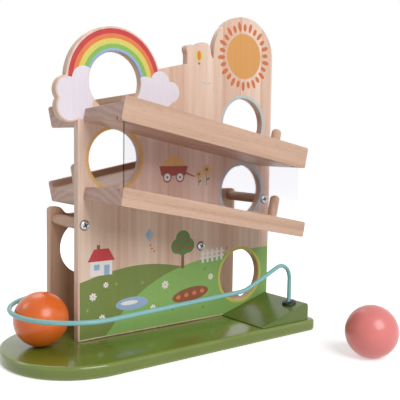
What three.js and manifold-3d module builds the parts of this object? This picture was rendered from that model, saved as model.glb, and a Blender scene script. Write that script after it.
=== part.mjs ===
// A wooden ball track toy: a tall printed board with five ball holes, a low board behind it,
// four sloping ramps, a clear window, a bent rod rail and two balls, on a painted base.
// Lengths are millimetres. X runs along the boards, Y runs to the back and Z is up.
// The origin is the middle of the base's underside.

import * as THREE from "three";
import * as BufferGeometryUtils from "three/addons/utils/BufferGeometryUtils.js";
import Module from "manifold-3d";

// Balls, and how much wider than a ball the holes and the gap between the boards are
const BALL_DIAMETER = 51;
const HOLE_PLAY = 6;
const BOARD_GAP_PLAY = 1;

// Base plank: one half-round end, one square end with eased corners. It is as wide as the lane
// and the two boards, and it reaches a little past them.
const BASE_PAST_BOARD_END = 12;
const BASE_PAST_REAR_BOARD = 4;
const BASE_THICKNESS = 12.5;
const BASE_CORNER_RADIUS = 9;
const BASE_EDGE_RADIUS = 3;

// The two upright boards, and the lane in front of them. The height is the front board's.
const BOARD_LENGTH = 245;
const BOARD_HEIGHT = 329;
const BOARD_THICKNESS = 9;
const BOARD_EDGE_RADIUS = 1.2;
const LANE_WIDTH = 69;

// Ball holes: how far their rims are in from the boards' ends, and how high the centres in the
// front board are over the base, as shares of its height
const HOLE_RIM_FROM_LEFT = 11.5;
const HOLE_RIM_FROM_RIGHT = 14;
const EXIT_HOLE_SHARE = 0.1325;
const MIDDLE_RIGHT_HOLE_SHARE = 0.4216;
const LEFT_HOLE_SHARE = 0.5304;
const UPPER_RIGHT_HOLE_SHARE = 0.6444;
const RAINBOW_HOLE_SHARE = 0.7538;

// Top outline of the front board, with its heights counted from the rainbow's ball hole
const RAINBOW_RADIUS = 52;
const SUN_RADIUS = 43;
const SHOULDER_END = 124.5;
const SHOULDER_END_RISE = 24.4;
const CLOUD_UPPER_RADIUS = 13.5;
const CLOUD_UPPER_OUT = 9;
const CLOUD_UPPER_DROP = 10;
const CLOUD_LOWER_RADIUS = 14.3;
const CLOUD_LOWER_OUT = 7.5;
const CLOUD_LOWER_DROP = 25.5;
const SHOULDER_FOOT_ANGLE = THREE.MathUtils.degToRad(18);
const SUN_NOTCH_ANGLE = THREE.MathUtils.degToRad(185.5);
const CREST_WIDTH = 31;
const CREST_HEIGHT = 24;

// The crest from the notch beside the sun to its left side: the control points of each curve,
// as shares of the crest's width and height from its lower left corner
const CREST_CURVE_SHARES = [
  [[1.13, 0.34], [1.08, 0.34], [1.05, 0.43]],
  [[1.02, 0.52], [1.01, 0.59], [1, 0.68]],
  [[0.98, 0.9], [0.86, 1], [0.7, 1]],
  [[0.5, 1], [0.42, 0.82], [0.28, 0.82]],
  [[0.24, 0.82], [0.2, 0.82], [0.14, 0.82]],
  [[0.02, 0.82], [-0.06, 0.76], [-0.06, 0.64]],
  [[-0.06, 0.52], [0, 0.48], [0, 0.34]],
];

// Top outline of the rear board: its left ear counts down from the left ball hole, the right ear
// up from the left one, the lower edge between them down from the left ear, and the board's own
// ball hole down from that edge
const REAR_LEFT_EAR_DROP = 50;
const REAR_RIGHT_EAR_RISE = 12;
const REAR_DIP_DROP = 8;
const REAR_HOLE_DROP = 35.5;
const REAR_RIGHT_DIP_DROP = 4;
const REAR_EAR_WIDTH = 22;
const REAR_LEFT_EAR_WIDTH = 8;
const REAR_EAR_RADIUS = 4;
const REAR_SWEEP_LENGTH = 22;

// Ramps: one milled plank each, thin at the board and thick at the outer side. They are as wide
// as the lane under them and a little shorter than the boards.
const RAMP_SHORTER_THAN_BOARD = 16;
const RAMP_SLOPE = THREE.MathUtils.degToRad(11);
const RAMP_INNER_THICKNESS = 12;
const RAMP_OUTER_THICKNESS = 16.3;
const RAMP_LIP_HEIGHT = 5.9;
const RAMP_LIP_TOP_WIDTH = 5.7;
const RAMP_LIP_FOOT_WIDTH = 8.3;
const RAMP_CORNER_RADIUS = 2.2;
const FRONT_RAMP_INSET = 5.3;
const REAR_RAMP_INSET = 10;
const REAR_UPPER_RAMP_LIFT = 2.2;

// Pegs that stop the ball at the low end of a ramp
const PEG_DIAMETER = 10.5;
const PEG_HEIGHT = 27;
const PEG_SOCKET_DEPTH = 7;
const FRONT_PEG_FROM_BOARD = 27;
const REAR_PEG_FROM_BOARD = 20;
const PEG_FROM_END = 9.5;
const PEG_DOME_SHARE = 0.8;

// Clear window between the two front ramps
const WINDOW_THICKNESS = 2;
const WINDOW_FROM_RAMP_EDGE = 9.2;
const WINDOW_FROM_HIGH_END = 7.2;
const WINDOW_FROM_LOW_END = 1.1;
const GROOVE_DEPTH = 3.3;

// Round spacers between the boards: how far in from the ends and how far below the rear board's
// left ear, lower edge and right ear they are, and their screws
const DOWEL_DIAMETER = 11;
const LEFT_DOWEL_INSET = 7;
const LEFT_DOWEL_DROP = 12.5;
const MIDDLE_DOWEL_FROM_LEFT = 145.8;
const MIDDLE_DOWEL_DROP = 35.5;
const RIGHT_DOWEL_INSET = 8.8;
const RIGHT_DOWEL_DROP = 8.5;
const SCREW_HEAD_DIAMETER = 9.2;
const SCREW_HEAD_HEIGHT = 2.4;
const SCREW_SHANK_DIAMETER = 4;
const SCREW_DEPTH_IN_DOWEL = 15;
const SCREW_RIM_SHARE = 0.3;
const RECESS_LENGTH = 4.6;
const RECESS_WIDTH = 1.1;
const RECESS_DEPTH = 1.2;

// Exit wedge in front of the lowest hole, and the sloping block between the boards
const WEDGE_LENGTH = 67.5;
const WEDGE_HEIGHT = 20;
const WEDGE_TOE_HEIGHT = 1.2;
const WEDGE_TOP_RADIUS = 4;
const WEDGE_FROM_BASE_EDGE = 3;
const CHUTE_WIDTH = 25;
const CHUTE_FRONT_HEIGHT = 14.6;
const CHUTE_REAR_HEIGHT = 20;

// Rail: one rod bent to follow the lane, with its height over the base at each bend
const ROD_DIAMETER = 4.4;
const ROD_FROM_BASE_EDGE = 10;
const ROD_LOOP_HEIGHT = 35.3;
const ROD_RISE_START = 158;
const ROD_RISE_START_HEIGHT = 41.4;
const ROD_RISE_RADIUS = 46;
const ROD_CREST_HEIGHT = 67;
const ROD_CREST_RADIUS = 16.5;
const ROD_FOOT_FROM_BOARD_END = 13.5;
const ROD_FOOT_FROM_BASE_EDGE = 19.5;
const ROD_END_RADIUS = 9;
const ROD_END_FROM_BOARD_EDGE = 12;
const ROD_SOCKET_DEPTH = 8;

// Soft grommets where the rod goes into the wood
const GROMMET_DIAMETER = 15.5;
const GROMMET_HEIGHT = 3;
const GROMMET_RIM_SHARE = 0.25;
const GROMMET_BORE_CLEARANCE = 0.9;

// Countersunk screws up through the base
const BASE_SCREW_HEAD_DIAMETER = 7;
const BASE_SCREW_HEAD_HEIGHT = 2.6;
const BASE_SCREW_DIAMETER = 3.4;
const BASE_SCREW_BITE = 11;
const WEDGE_SCREW_BITE = 7.5;
const BASE_SCREW_SINK = 0.5;
const BOARD_SCREW_SHARES = [0.08, 0.5, 0.965];
const WEDGE_SCREW_LENGTH_SHARE = 0.7;
const WEDGE_SCREW_DEPTH_SHARES = [0.22, 0.5];

// Where the two balls stand: the orange one inside the rail's loop, the pink one from the front
// board's left end and front face
const ORANGE_BALL_ROD_GAP = 2.6;
const ORANGE_BALL_ANGLE = THREE.MathUtils.degToRad(165.25);
const PINK_BALL_RIGHT = 228.2;
const PINK_BALL_FRONT = 164.5;

// Fits
const CLEARANCE = 0.3;
const CUT_OVERRUN = 2;
const SAME_POINT = 0.001;

// Smoothness: how far a flat facet may lie inside a true arc, and the steps of smaller rounds
const FACET_SAG = 0.1;
const DOME_STEPS = 4;
const CREST_CURVE_STEPS = 4;
const ROUND_SIDES = 16;
const BALL_SIDES = 32;
const BALL_RING_SHARE = 0.625;
const ROD_HALF_SIDES = 6;
const EDGE_STEPS = 1;

// The gap between the boards, the base's sizes, and where the front board's lower left corner
// stands on the base: the boards start where the base's round end does
const ballRadius = BALL_DIAMETER / 2;
const boardGap = BALL_DIAMETER + BOARD_GAP_PLAY;
const baseWidth = LANE_WIDTH + 2 * BOARD_THICKNESS + boardGap + BASE_PAST_REAR_BOARD;
const baseLength = baseWidth / 2 + BOARD_LENGTH + BASE_PAST_BOARD_END;
const boardLeft = (baseWidth - baseLength) / 2;
const boardFront = LANE_WIDTH - baseWidth / 2;

// Places that follow from the sizes above, in the frame of the front board's lower left corner
const rearFront = BOARD_THICKNESS + boardGap;
const rearBack = rearFront + BOARD_THICKNESS;
const loopRadius = baseWidth / 2 - ROD_FROM_BASE_EDGE;
const loopY = -boardFront;
const wedgeDepth = LANE_WIDTH - WEDGE_FROM_BASE_EDGE;
const rampWidth = LANE_WIDTH;
const rampLength = BOARD_LENGTH - RAMP_SHORTER_THAN_BOARD;
const windowFromBoard = rampWidth - WINDOW_FROM_RAMP_EDGE;
const windowStart = FRONT_RAMP_INSET + WINDOW_FROM_HIGH_END;
const windowEnd = FRONT_RAMP_INSET + rampLength * Math.cos(RAMP_SLOPE) - WINDOW_FROM_LOW_END;
const holeRadius = ballRadius + HOLE_PLAY / 2;
const leftHoleX = HOLE_RIM_FROM_LEFT + holeRadius;
const rightHoleX = BOARD_LENGTH - HOLE_RIM_FROM_RIGHT - holeRadius;
const wedgeStart = BOARD_LENGTH - WEDGE_LENGTH;
const wedgeRise = WEDGE_HEIGHT - WEDGE_TOE_HEIGHT;
const wedgeTilt = Math.atan2(wedgeRise, WEDGE_LENGTH);
const exitHoleHeight = BOARD_HEIGHT * EXIT_HOLE_SHARE;
const middleRightHoleHeight = BOARD_HEIGHT * MIDDLE_RIGHT_HOLE_SHARE;
const leftHoleHeight = BOARD_HEIGHT * LEFT_HOLE_SHARE;
const upperRightHoleHeight = BOARD_HEIGHT * UPPER_RIGHT_HOLE_SHARE;
const rainbowHoleHeight = BOARD_HEIGHT * RAINBOW_HOLE_SHARE;
const shoulderEndHeight = rainbowHoleHeight + SHOULDER_END_RISE;
const rearLeftHeight = leftHoleHeight - REAR_LEFT_EAR_DROP;
const rearRightHeight = rearLeftHeight + REAR_RIGHT_EAR_RISE;
const rearDipHeight = rearLeftHeight - REAR_DIP_DROP;
const rearHoleHeight = rearDipHeight - REAR_HOLE_DROP;

const dowelPlaces = {
  left: { x: LEFT_DOWEL_INSET, z: rearLeftHeight - LEFT_DOWEL_DROP },
  middle: { x: MIDDLE_DOWEL_FROM_LEFT, z: rearDipHeight - MIDDLE_DOWEL_DROP },
  right: { x: BOARD_LENGTH - RIGHT_DOWEL_INSET, z: rearRightHeight - RIGHT_DOWEL_DROP },
};

const wasm = await Module();
wasm.setup();

const finishes = {
  pine: new THREE.MeshStandardMaterial({ color: 0xdbb596, roughness: 0.62, metalness: 0 }),
  beech: new THREE.MeshStandardMaterial({ color: 0xc99c78, roughness: 0.55, metalness: 0 }),
  greenPaint: new THREE.MeshStandardMaterial({ color: 0x6a7c30, roughness: 0.22, metalness: 0 }),
  orangePaint: new THREE.MeshStandardMaterial({ color: 0xe8702f, roughness: 0.28, metalness: 0 }),
  pinkPaint: new THREE.MeshStandardMaterial({ color: 0xe8827d, roughness: 0.28, metalness: 0 }),
  tealCoating: new THREE.MeshStandardMaterial({ color: 0x87c8cd, roughness: 0.35, metalness: 0 }),
  zinc: new THREE.MeshStandardMaterial({ color: 0xb4b6b8, roughness: 0.3, metalness: 1 }),
  blackPlastic: new THREE.MeshStandardMaterial({ color: 0x191919, roughness: 0.45, metalness: 0 }),
  clearSheet: new THREE.MeshStandardMaterial({
    color: 0xeeecf3,
    roughness: 0.08,
    metalness: 0,
    transparent: true,
    opacity: 0.25,
  }),
};

function toSolid(geometry) {
  const bare = geometry.clone();
  bare.deleteAttribute("normal");
  bare.deleteAttribute("uv");
  const merged = BufferGeometryUtils.mergeVertices(bare);
  return new wasm.Manifold(
    new wasm.Mesh({
      numProp: 3,
      vertProperties: new Float32Array(merged.attributes.position.array),
      triVerts: new Uint32Array(merged.index.array),
    }),
  );
}

function toGeometry(solid) {
  const mesh = solid.getMesh();
  const geometry = new THREE.BufferGeometry();
  geometry.setAttribute("position", new THREE.BufferAttribute(new Float32Array(mesh.vertProperties), 3));
  geometry.setIndex(new THREE.BufferAttribute(new Uint32Array(mesh.triVerts), 1));
  geometry.computeVertexNormals();
  return geometry;
}

function cut(geometry, tools) {
  return toGeometry(tools.reduce((body, tool) => body.subtract(toSolid(tool)), toSolid(geometry)));
}

function common(first, second) {
  return toGeometry(toSolid(first).intersect(toSolid(second)));
}

function addPiece(parent, name, geometry, finish) {
  const mesh = new THREE.Mesh(geometry, finish);
  mesh.name = name;
  parent.add(mesh);
  return mesh;
}

// A cylinder along +Z from its base, or along another axis once it is turned
function rod(radius, length) {
  return new THREE.CylinderGeometry(radius, radius, length, ROUND_SIDES)
    .rotateX(Math.PI / 2)
    .translate(0, 0, length / 2);
}

// How many flat facets an arc takes
function arcSteps(radius, sweep) {
  return Math.max(2, Math.ceil(Math.abs(sweep) / (2 * Math.acos(1 - FACET_SAG / radius))));
}

// Goes on from an outline's last point along an arc about a centre, from one angle to another
function arcTo(outline, centre, radius, from, to) {
  const steps = arcSteps(radius, to - from);
  for (let step = 0; step <= steps; step += 1) {
    const angle = from + ((to - from) * step) / steps;
    const point = new THREE.Vector2(radius, 0).rotateAround(new THREE.Vector2(), angle).add(centre);
    if (point.distanceTo(outline.currentPoint) > SAME_POINT) {
      outline.lineTo(point.x, point.y);
    }
  }
}

// A flat board from an outline, lying in XY and as thick as asked, with eased edges
function plank(shape, thickness, edge) {
  return new THREE.ExtrudeGeometry(shape, {
    depth: thickness - 2 * edge,
    bevelEnabled: true,
    bevelThickness: edge,
    bevelSize: edge,
    bevelOffset: -edge,
    bevelSegments: EDGE_STEPS,
  }).translate(0, 0, edge);
}

// The same board stood up: the outline's Y becomes height, and the face at Y zero is the front
function uprightPlank(shape, thickness, edge) {
  return plank(shape, thickness, edge).rotateX(Math.PI / 2).translate(0, thickness, 0);
}

// Where two circles cross, on the side asked for
function crossing(first, firstRadius, second, secondRadius, side) {
  const apart = second.clone().sub(first);
  const distance = apart.length();
  const along = (distance ** 2 + firstRadius ** 2 - secondRadius ** 2) / (2 * distance);
  const across = Math.sqrt(firstRadius ** 2 - along ** 2) * side;
  const unit = apart.divideScalar(distance);
  return new THREE.Vector2(
    first.x + unit.x * along - unit.y * across,
    first.y + unit.y * along + unit.x * across,
  );
}

function angleFrom(centre, point) {
  return Math.atan2(point.y - centre.y, point.x - centre.x);
}

// Goes on anticlockwise about a centre, between two points of its circle
function arcBetween(outline, centre, radius, first, last) {
  const from = angleFrom(centre, first);
  const to = angleFrom(centre, last);
  arcTo(outline, centre, radius, from, to < from ? to + 2 * Math.PI : to);
}

// A rectangle from its corners, with each corner rounded as asked, anticlockwise from the lower left
function roundedRectangle(left, bottom, right, top, lowerLeft, lowerRight, upperRight, upperLeft) {
  const shape = new THREE.Shape();
  shape.moveTo(left, bottom + lowerLeft);
  arcTo(shape, { x: left + lowerLeft, y: bottom + lowerLeft }, lowerLeft, Math.PI, (3 * Math.PI) / 2);
  arcTo(shape, { x: right - lowerRight, y: bottom + lowerRight }, lowerRight, -Math.PI / 2, 0);
  arcTo(shape, { x: right - upperRight, y: top - upperRight }, upperRight, 0, Math.PI / 2);
  arcTo(shape, { x: left + upperLeft, y: top - upperLeft }, upperLeft, Math.PI / 2, Math.PI);
  return shape;
}

// Base: the left end is a half circle as wide as the plank
function baseShape() {
  const halfLength = baseLength / 2;
  const halfWidth = baseWidth / 2;
  return roundedRectangle(
    -halfLength,
    -halfWidth,
    halfLength,
    halfWidth,
    halfWidth,
    BASE_CORNER_RADIUS,
    BASE_CORNER_RADIUS,
    halfWidth,
  );
}

function ballHole(x, height) {
  const hole = new THREE.Path();
  hole.moveTo(x + holeRadius, height);
  arcTo(hole, { x, y: height }, holeRadius, 2 * Math.PI, 0);
  return hole;
}

// Front board: sun at the right end, a small wavy crest, a shoulder, the rainbow, two cloud lobes
function frontBoardShape() {
  const sun = new THREE.Vector2(BOARD_LENGTH - SUN_RADIUS, BOARD_HEIGHT - SUN_RADIUS);
  const rainbow = new THREE.Vector2(leftHoleX, rainbowHoleHeight);
  const upperLobe = new THREE.Vector2(-CLOUD_UPPER_OUT, rainbowHoleHeight - CLOUD_UPPER_DROP);
  const lowerLobe = new THREE.Vector2(-CLOUD_LOWER_OUT, rainbowHoleHeight - CLOUD_LOWER_DROP);
  const shoulderFoot = new THREE.Vector2(RAINBOW_RADIUS, 0)
    .rotateAround(new THREE.Vector2(), SHOULDER_FOOT_ANGLE)
    .add(rainbow);
  const rainbowEnd = crossing(rainbow, RAINBOW_RADIUS, upperLobe, CLOUD_UPPER_RADIUS, -1);
  const lobeNotch = crossing(upperLobe, CLOUD_UPPER_RADIUS, lowerLobe, CLOUD_LOWER_RADIUS, -1);
  const lowerDrop = Math.sqrt(CLOUD_LOWER_RADIUS ** 2 - CLOUD_LOWER_OUT ** 2);
  const lowerEnd = new THREE.Vector2(0, lowerLobe.y - lowerDrop);
  const crest = ([acrossShare, upShare]) =>
    new THREE.Vector2(SHOULDER_END + CREST_WIDTH * acrossShare, shoulderEndHeight + CREST_HEIGHT * upShare);

  const shape = new THREE.Shape();
  shape.moveTo(0, 0);
  shape.lineTo(BOARD_LENGTH, 0);
  arcTo(shape, sun, SUN_RADIUS, 0, SUN_NOTCH_ANGLE);
  for (const [first, second, last] of CREST_CURVE_SHARES) {
    const start = shape.currentPoint.clone();
    const curve = new THREE.CubicBezierCurve(start, crest(first), crest(second), crest(last));
    for (const point of curve.getPoints(CREST_CURVE_STEPS).slice(1)) {
      shape.lineTo(point.x, point.y);
    }
  }
  shape.lineTo(SHOULDER_END, shoulderEndHeight);
  arcBetween(shape, rainbow, RAINBOW_RADIUS, shoulderFoot, rainbowEnd);
  arcBetween(shape, upperLobe, CLOUD_UPPER_RADIUS, rainbowEnd, lobeNotch);
  arcBetween(shape, lowerLobe, CLOUD_LOWER_RADIUS, lobeNotch, lowerEnd);
  shape.lineTo(0, 0);
  shape.holes.push(
    ballHole(leftHoleX, rainbowHoleHeight),
    ballHole(rightHoleX, upperRightHoleHeight),
    ballHole(leftHoleX, leftHoleHeight),
    ballHole(rightHoleX, middleRightHoleHeight),
    ballHole(rightHoleX, exitHoleHeight),
  );
  return shape;
}

// A hollow sweep from an ear's top down to the lower edge, or back up: an S of two quarter turns
function sweepTo(shape, x, height) {
  const start = shape.currentPoint.clone();
  const middle = (start.x + x) / 2;
  const curve = new THREE.CubicBezierCurve(
    start,
    new THREE.Vector2(middle, start.y),
    new THREE.Vector2(middle, height),
    new THREE.Vector2(x, height),
  );
  for (const point of curve.getPoints(2 * CREST_CURVE_STEPS).slice(1)) {
    shape.lineTo(point.x, point.y);
  }
}

// Rear board: a raised ear at each end, one for each end spacer, and a lower edge between them
function rearBoardShape() {
  const round = REAR_EAR_RADIUS;
  const shape = new THREE.Shape();
  shape.moveTo(0, 0);
  shape.lineTo(BOARD_LENGTH, 0);
  const sweepStart = BOARD_LENGTH - REAR_EAR_WIDTH;
  arcTo(shape, { x: BOARD_LENGTH - round, y: rearRightHeight - round }, round, 0, Math.PI / 2);
  shape.lineTo(sweepStart, rearRightHeight);
  sweepTo(shape, sweepStart - REAR_SWEEP_LENGTH, rearLeftHeight - REAR_RIGHT_DIP_DROP);
  shape.lineTo(REAR_SWEEP_LENGTH, rearDipHeight);
  sweepTo(shape, REAR_LEFT_EAR_WIDTH, rearLeftHeight);
  arcTo(shape, { x: round, y: rearLeftHeight - round }, round, Math.PI / 2, Math.PI);
  shape.lineTo(0, 0);
  shape.holes.push(ballHole(leftHoleX, rearHoleHeight));
  return shape;
}

// Thickness of a ramp, square to its underside, at a distance out from the board
function rampFloor(fromBoard) {
  return RAMP_INNER_THICKNESS + ((RAMP_OUTER_THICKNESS - RAMP_INNER_THICKNESS) * fromBoard) / rampWidth;
}

// A ramp lies along X from its left end, its underside at Z zero and the board side at Y zero.
// The section is milled along the plank, then the plank's four end corners are eased.
function rampGeometry({ outward, lip, pegPlace, grooveAbove, grooveBelow }) {
  const lipStart = rampWidth - RAMP_LIP_TOP_WIDTH;
  const lipFoot = rampWidth - RAMP_LIP_FOOT_WIDTH;
  const top = lip ? rampFloor(lipStart) + RAMP_LIP_HEIGHT : RAMP_OUTER_THICKNESS;
  const section = new THREE.Shape();
  section.moveTo(0, 0);
  section.lineTo(outward * rampWidth, 0);
  section.lineTo(outward * rampWidth, top);
  if (lip) {
    section.lineTo(outward * lipStart, top);
    section.lineTo(outward * lipFoot, rampFloor(lipFoot));
  }
  section.lineTo(0, RAMP_INNER_THICKNESS);
  section.closePath();
  const alongX = new THREE.Matrix4().makeBasis(
    new THREE.Vector3(0, 1, 0),
    new THREE.Vector3(0, 0, 1),
    new THREE.Vector3(1, 0, 0),
  );
  const milled = new THREE.ExtrudeGeometry(section, {
    depth: rampLength + 2 * CUT_OVERRUN,
    bevelEnabled: false,
  })
    .translate(0, 0, -CUT_OVERRUN)
    .applyMatrix4(alongX);

  const corner = RAMP_CORNER_RADIUS;
  const blank = roundedRectangle(0, 0, rampLength, top, corner, corner, corner, corner);
  const blankWidth = rampWidth + 2 * CUT_OVERRUN;
  const blankStart = outward > 0 ? -CUT_OVERRUN : -rampWidth - CUT_OVERRUN;
  const eased = new THREE.ExtrudeGeometry(blank, { depth: blankWidth, bevelEnabled: false })
    .rotateX(Math.PI / 2)
    .translate(0, blankStart + blankWidth, 0);

  const socket = rod(PEG_DIAMETER / 2 + CLEARANCE, PEG_SOCKET_DEPTH + RAMP_OUTER_THICKNESS)
    .translate(pegPlace.x, pegPlace.y, pegPlace.z - PEG_SOCKET_DEPTH);
  const tools = [socket];
  const groove = (bottom, height) =>
    new THREE.BoxGeometry(
      rampLength + 2 * CUT_OVERRUN,
      WINDOW_THICKNESS + 2 * CLEARANCE,
      height,
    ).translate(rampLength / 2, outward * (windowFromBoard + WINDOW_THICKNESS / 2), bottom + height / 2);
  if (grooveBelow) {
    tools.push(groove(-CUT_OVERRUN, GROOVE_DEPTH + CUT_OVERRUN));
  }
  if (grooveAbove) {
    tools.push(groove(windowSeat() - CLEARANCE, GROOVE_DEPTH + CUT_OVERRUN));
  }
  return cut(common(milled, eased), tools);
}

// How high over the lower ramp's underside the window's lower edge stands
function windowSeat() {
  return rampFloor(windowFromBoard + WINDOW_THICKNESS / 2) - GROOVE_DEPTH + CLEARANCE;
}

// A turned piece about Z from its half outline, given as [radius, height] points from the bottom up
function turned(points) {
  const outline = points.map(([radius, height]) => new THREE.Vector2(radius, height));
  const geometry = new THREE.LatheGeometry(outline, ROUND_SIDES).rotateX(Math.PI / 2);
  return toGeometry(toSolid(geometry));
}

// Points of a quarter round or flatter dome, from its rim up to the axis
function dome(radius, bottom, height) {
  const points = [];
  for (let step = 0; step <= DOME_STEPS; step += 1) {
    const angle = ((Math.PI / 2) * step) / DOME_STEPS;
    const across = step === DOME_STEPS ? 0 : radius * Math.cos(angle);
    points.push([across, bottom + height * Math.sin(angle)]);
  }
  return points;
}

function pegGeometry() {
  const radius = PEG_DIAMETER / 2;
  const domeHeight = radius * PEG_DOME_SHARE;
  return turned([
    [0, CLEARANCE - PEG_SOCKET_DEPTH],
    [radius, CLEARANCE - PEG_SOCKET_DEPTH],
    ...dome(radius, PEG_HEIGHT - domeHeight, domeHeight),
  ]);
}

// Pan head screw along Z: its head rises from Z zero and its shank goes down
function panScrewGeometry() {
  const shank = SCREW_SHANK_DIAMETER / 2;
  const head = SCREW_HEAD_DIAMETER / 2;
  const rim = SCREW_HEAD_HEIGHT * SCREW_RIM_SHARE;
  const body = turned([
    [0, -BOARD_THICKNESS - SCREW_DEPTH_IN_DOWEL],
    [shank, -BOARD_THICKNESS - SCREW_DEPTH_IN_DOWEL + shank],
    [shank, 0],
    [head, 0],
    ...dome(head, rim, SCREW_HEAD_HEIGHT - rim),
  ]);
  const recessHeight = RECESS_DEPTH + CUT_OVERRUN;
  const bar = (length, width) =>
    new THREE.BoxGeometry(length, width, recessHeight).translate(
      0,
      0,
      SCREW_HEAD_HEIGHT - RECESS_DEPTH + recessHeight / 2,
    );
  return cut(body, [bar(RECESS_LENGTH, RECESS_WIDTH), bar(RECESS_WIDTH, RECESS_LENGTH)]);
}

// Countersunk screw along Z: its flat head is at Z zero and its point is up
function baseScrewGeometry(bite) {
  const head = BASE_SCREW_HEAD_DIAMETER / 2;
  const shank = BASE_SCREW_DIAMETER / 2;
  const length = BASE_THICKNESS - BASE_SCREW_SINK + bite;
  return turned([
    [0, 0],
    [head, 0],
    [shank, BASE_SCREW_HEAD_HEIGHT],
    [shank, length - 2 * shank],
    [0, length],
  ]);
}

// The hole that a countersunk screw needs in the base, from below the underside
function baseScrewHole() {
  const head = BASE_SCREW_HEAD_DIAMETER / 2 + CLEARANCE;
  const shank = BASE_SCREW_DIAMETER / 2 + CLEARANCE;
  return turned([
    [0, -CUT_OVERRUN],
    [head, -CUT_OVERRUN],
    [head, BASE_SCREW_SINK],
    [shank, BASE_SCREW_SINK + BASE_SCREW_HEAD_HEIGHT],
    [shank, BASE_THICKNESS + CUT_OVERRUN],
    [0, BASE_THICKNESS + CUT_OVERRUN],
  ]);
}

// An arc in space: it leaves along one direction and bends towards another
class SpaceArc extends THREE.Curve {
  constructor(start, along, inward, radius, sweep) {
    super();
    this.centre = start.clone().addScaledVector(inward, radius);
    this.along = along;
    this.inward = inward;
    this.radius = radius;
    this.sweep = sweep;
  }

  getPoint(share, target = new THREE.Vector3()) {
    const angle = this.sweep * share;
    return target
      .copy(this.centre)
      .addScaledVector(this.inward, -this.radius * Math.cos(angle))
      .addScaledVector(this.along, this.radius * Math.sin(angle));
  }
}

// The bend that rounds off a corner between two straight runs
function bendAt(before, corner, after, radius) {
  const along = corner.clone().sub(before).normalize();
  const onward = after.clone().sub(corner).normalize();
  const turn = along.angleTo(onward);
  const start = corner.clone().addScaledVector(along, -radius * Math.tan(turn / 2));
  const inward = onward.clone().addScaledVector(along, -onward.dot(along)).normalize();
  return new SpaceArc(start, along, inward, radius, turn);
}

// A path of several runs with steps of their own, so that bends get more of them than straights
class SteppedPath extends THREE.Curve {
  constructor(runs) {
    super();
    this.runs = runs.map((curve) => ({
      curve,
      steps: curve instanceof SpaceArc ? arcSteps(curve.radius, curve.sweep) : 1,
    }));
    this.steps = this.runs.reduce((total, run) => total + run.steps, 0);
  }

  getPoint(share, target = new THREE.Vector3()) {
    let step = share * this.steps;
    const last = this.runs.length - 1;
    const index = this.runs.findIndex((run, place) => {
      if (place === last || step <= run.steps) {
        return true;
      }
      step -= run.steps;
      return false;
    });
    return this.runs[index].curve.getPoint(step / this.runs[index].steps, target);
  }

  getPointAt(share, target) {
    return this.getPoint(share, target);
  }

  getTangentAt(share, target) {
    return this.getTangent(share, target);
  }
}

// Rail: up out of the wedge, over a crest, down to the lane, along the front and round the left end
function railRoute() {
  const foot = new THREE.Vector3(railFoot.x, railFoot.y, railFoot.surface - ROD_SOCKET_DEPTH + CLEARANCE);
  const crest = new THREE.Vector3(railFoot.x, railFoot.y, ROD_CREST_HEIGHT);
  const riseStart = new THREE.Vector3(ROD_RISE_START, loopY - loopRadius, ROD_RISE_START_HEIGHT);
  const loopStart = new THREE.Vector3(0, loopY - loopRadius, ROD_LOOP_HEIGHT);
  const crestBend = bendAt(foot, crest, riseStart, ROD_CREST_RADIUS);
  const riseBend = bendAt(crest, riseStart, loopStart, ROD_RISE_RADIUS);
  const loop = new SpaceArc(
    loopStart,
    new THREE.Vector3(-1, 0, 0),
    new THREE.Vector3(0, 1, 0),
    loopRadius,
    Math.PI - railEnd.shortOfHalfTurn,
  );
  const onward = new THREE.Vector3(Math.cos(railEnd.shortOfHalfTurn), Math.sin(railEnd.shortOfHalfTurn), 0);
  const endBend = new SpaceArc(
    loop.getPoint(1),
    onward,
    new THREE.Vector3(0, 0, -1),
    ROD_END_RADIUS,
    Math.PI / 2,
  );
  const end = new THREE.Vector3(railEnd.x, railEnd.y, -ROD_SOCKET_DEPTH + CLEARANCE);
  return new SteppedPath([
    new THREE.LineCurve3(foot, crestBend.getPoint(0)),
    crestBend,
    new THREE.LineCurve3(crestBend.getPoint(1), riseBend.getPoint(0)),
    riseBend,
    new THREE.LineCurve3(riseBend.getPoint(1), loopStart),
    loop,
    endBend,
    new THREE.LineCurve3(endBend.getPoint(1), end),
  ]);
}

function railGeometry() {
  const section = new THREE.Shape();
  section.absarc(0, 0, ROD_DIAMETER / 2, 0, 2 * Math.PI, false);
  const route = railRoute();
  return new THREE.ExtrudeGeometry(section, {
    steps: route.steps,
    curveSegments: ROD_HALF_SIDES,
    extrudePath: route,
    bevelEnabled: false,
  });
}

function grommetGeometry() {
  const bore = ROD_DIAMETER / 2 + GROMMET_BORE_CLEARANCE;
  const outer = GROMMET_DIAMETER / 2;
  const rim = GROMMET_HEIGHT * GROMMET_RIM_SHARE;
  const crown = dome(outer - bore, rim, GROMMET_HEIGHT - rim);
  const raised = crown.map(([across, height]) => [bore + across, height]);
  return turned([[bore, 0], [outer, 0], ...raised, [bore, 0]]);
}

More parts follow.
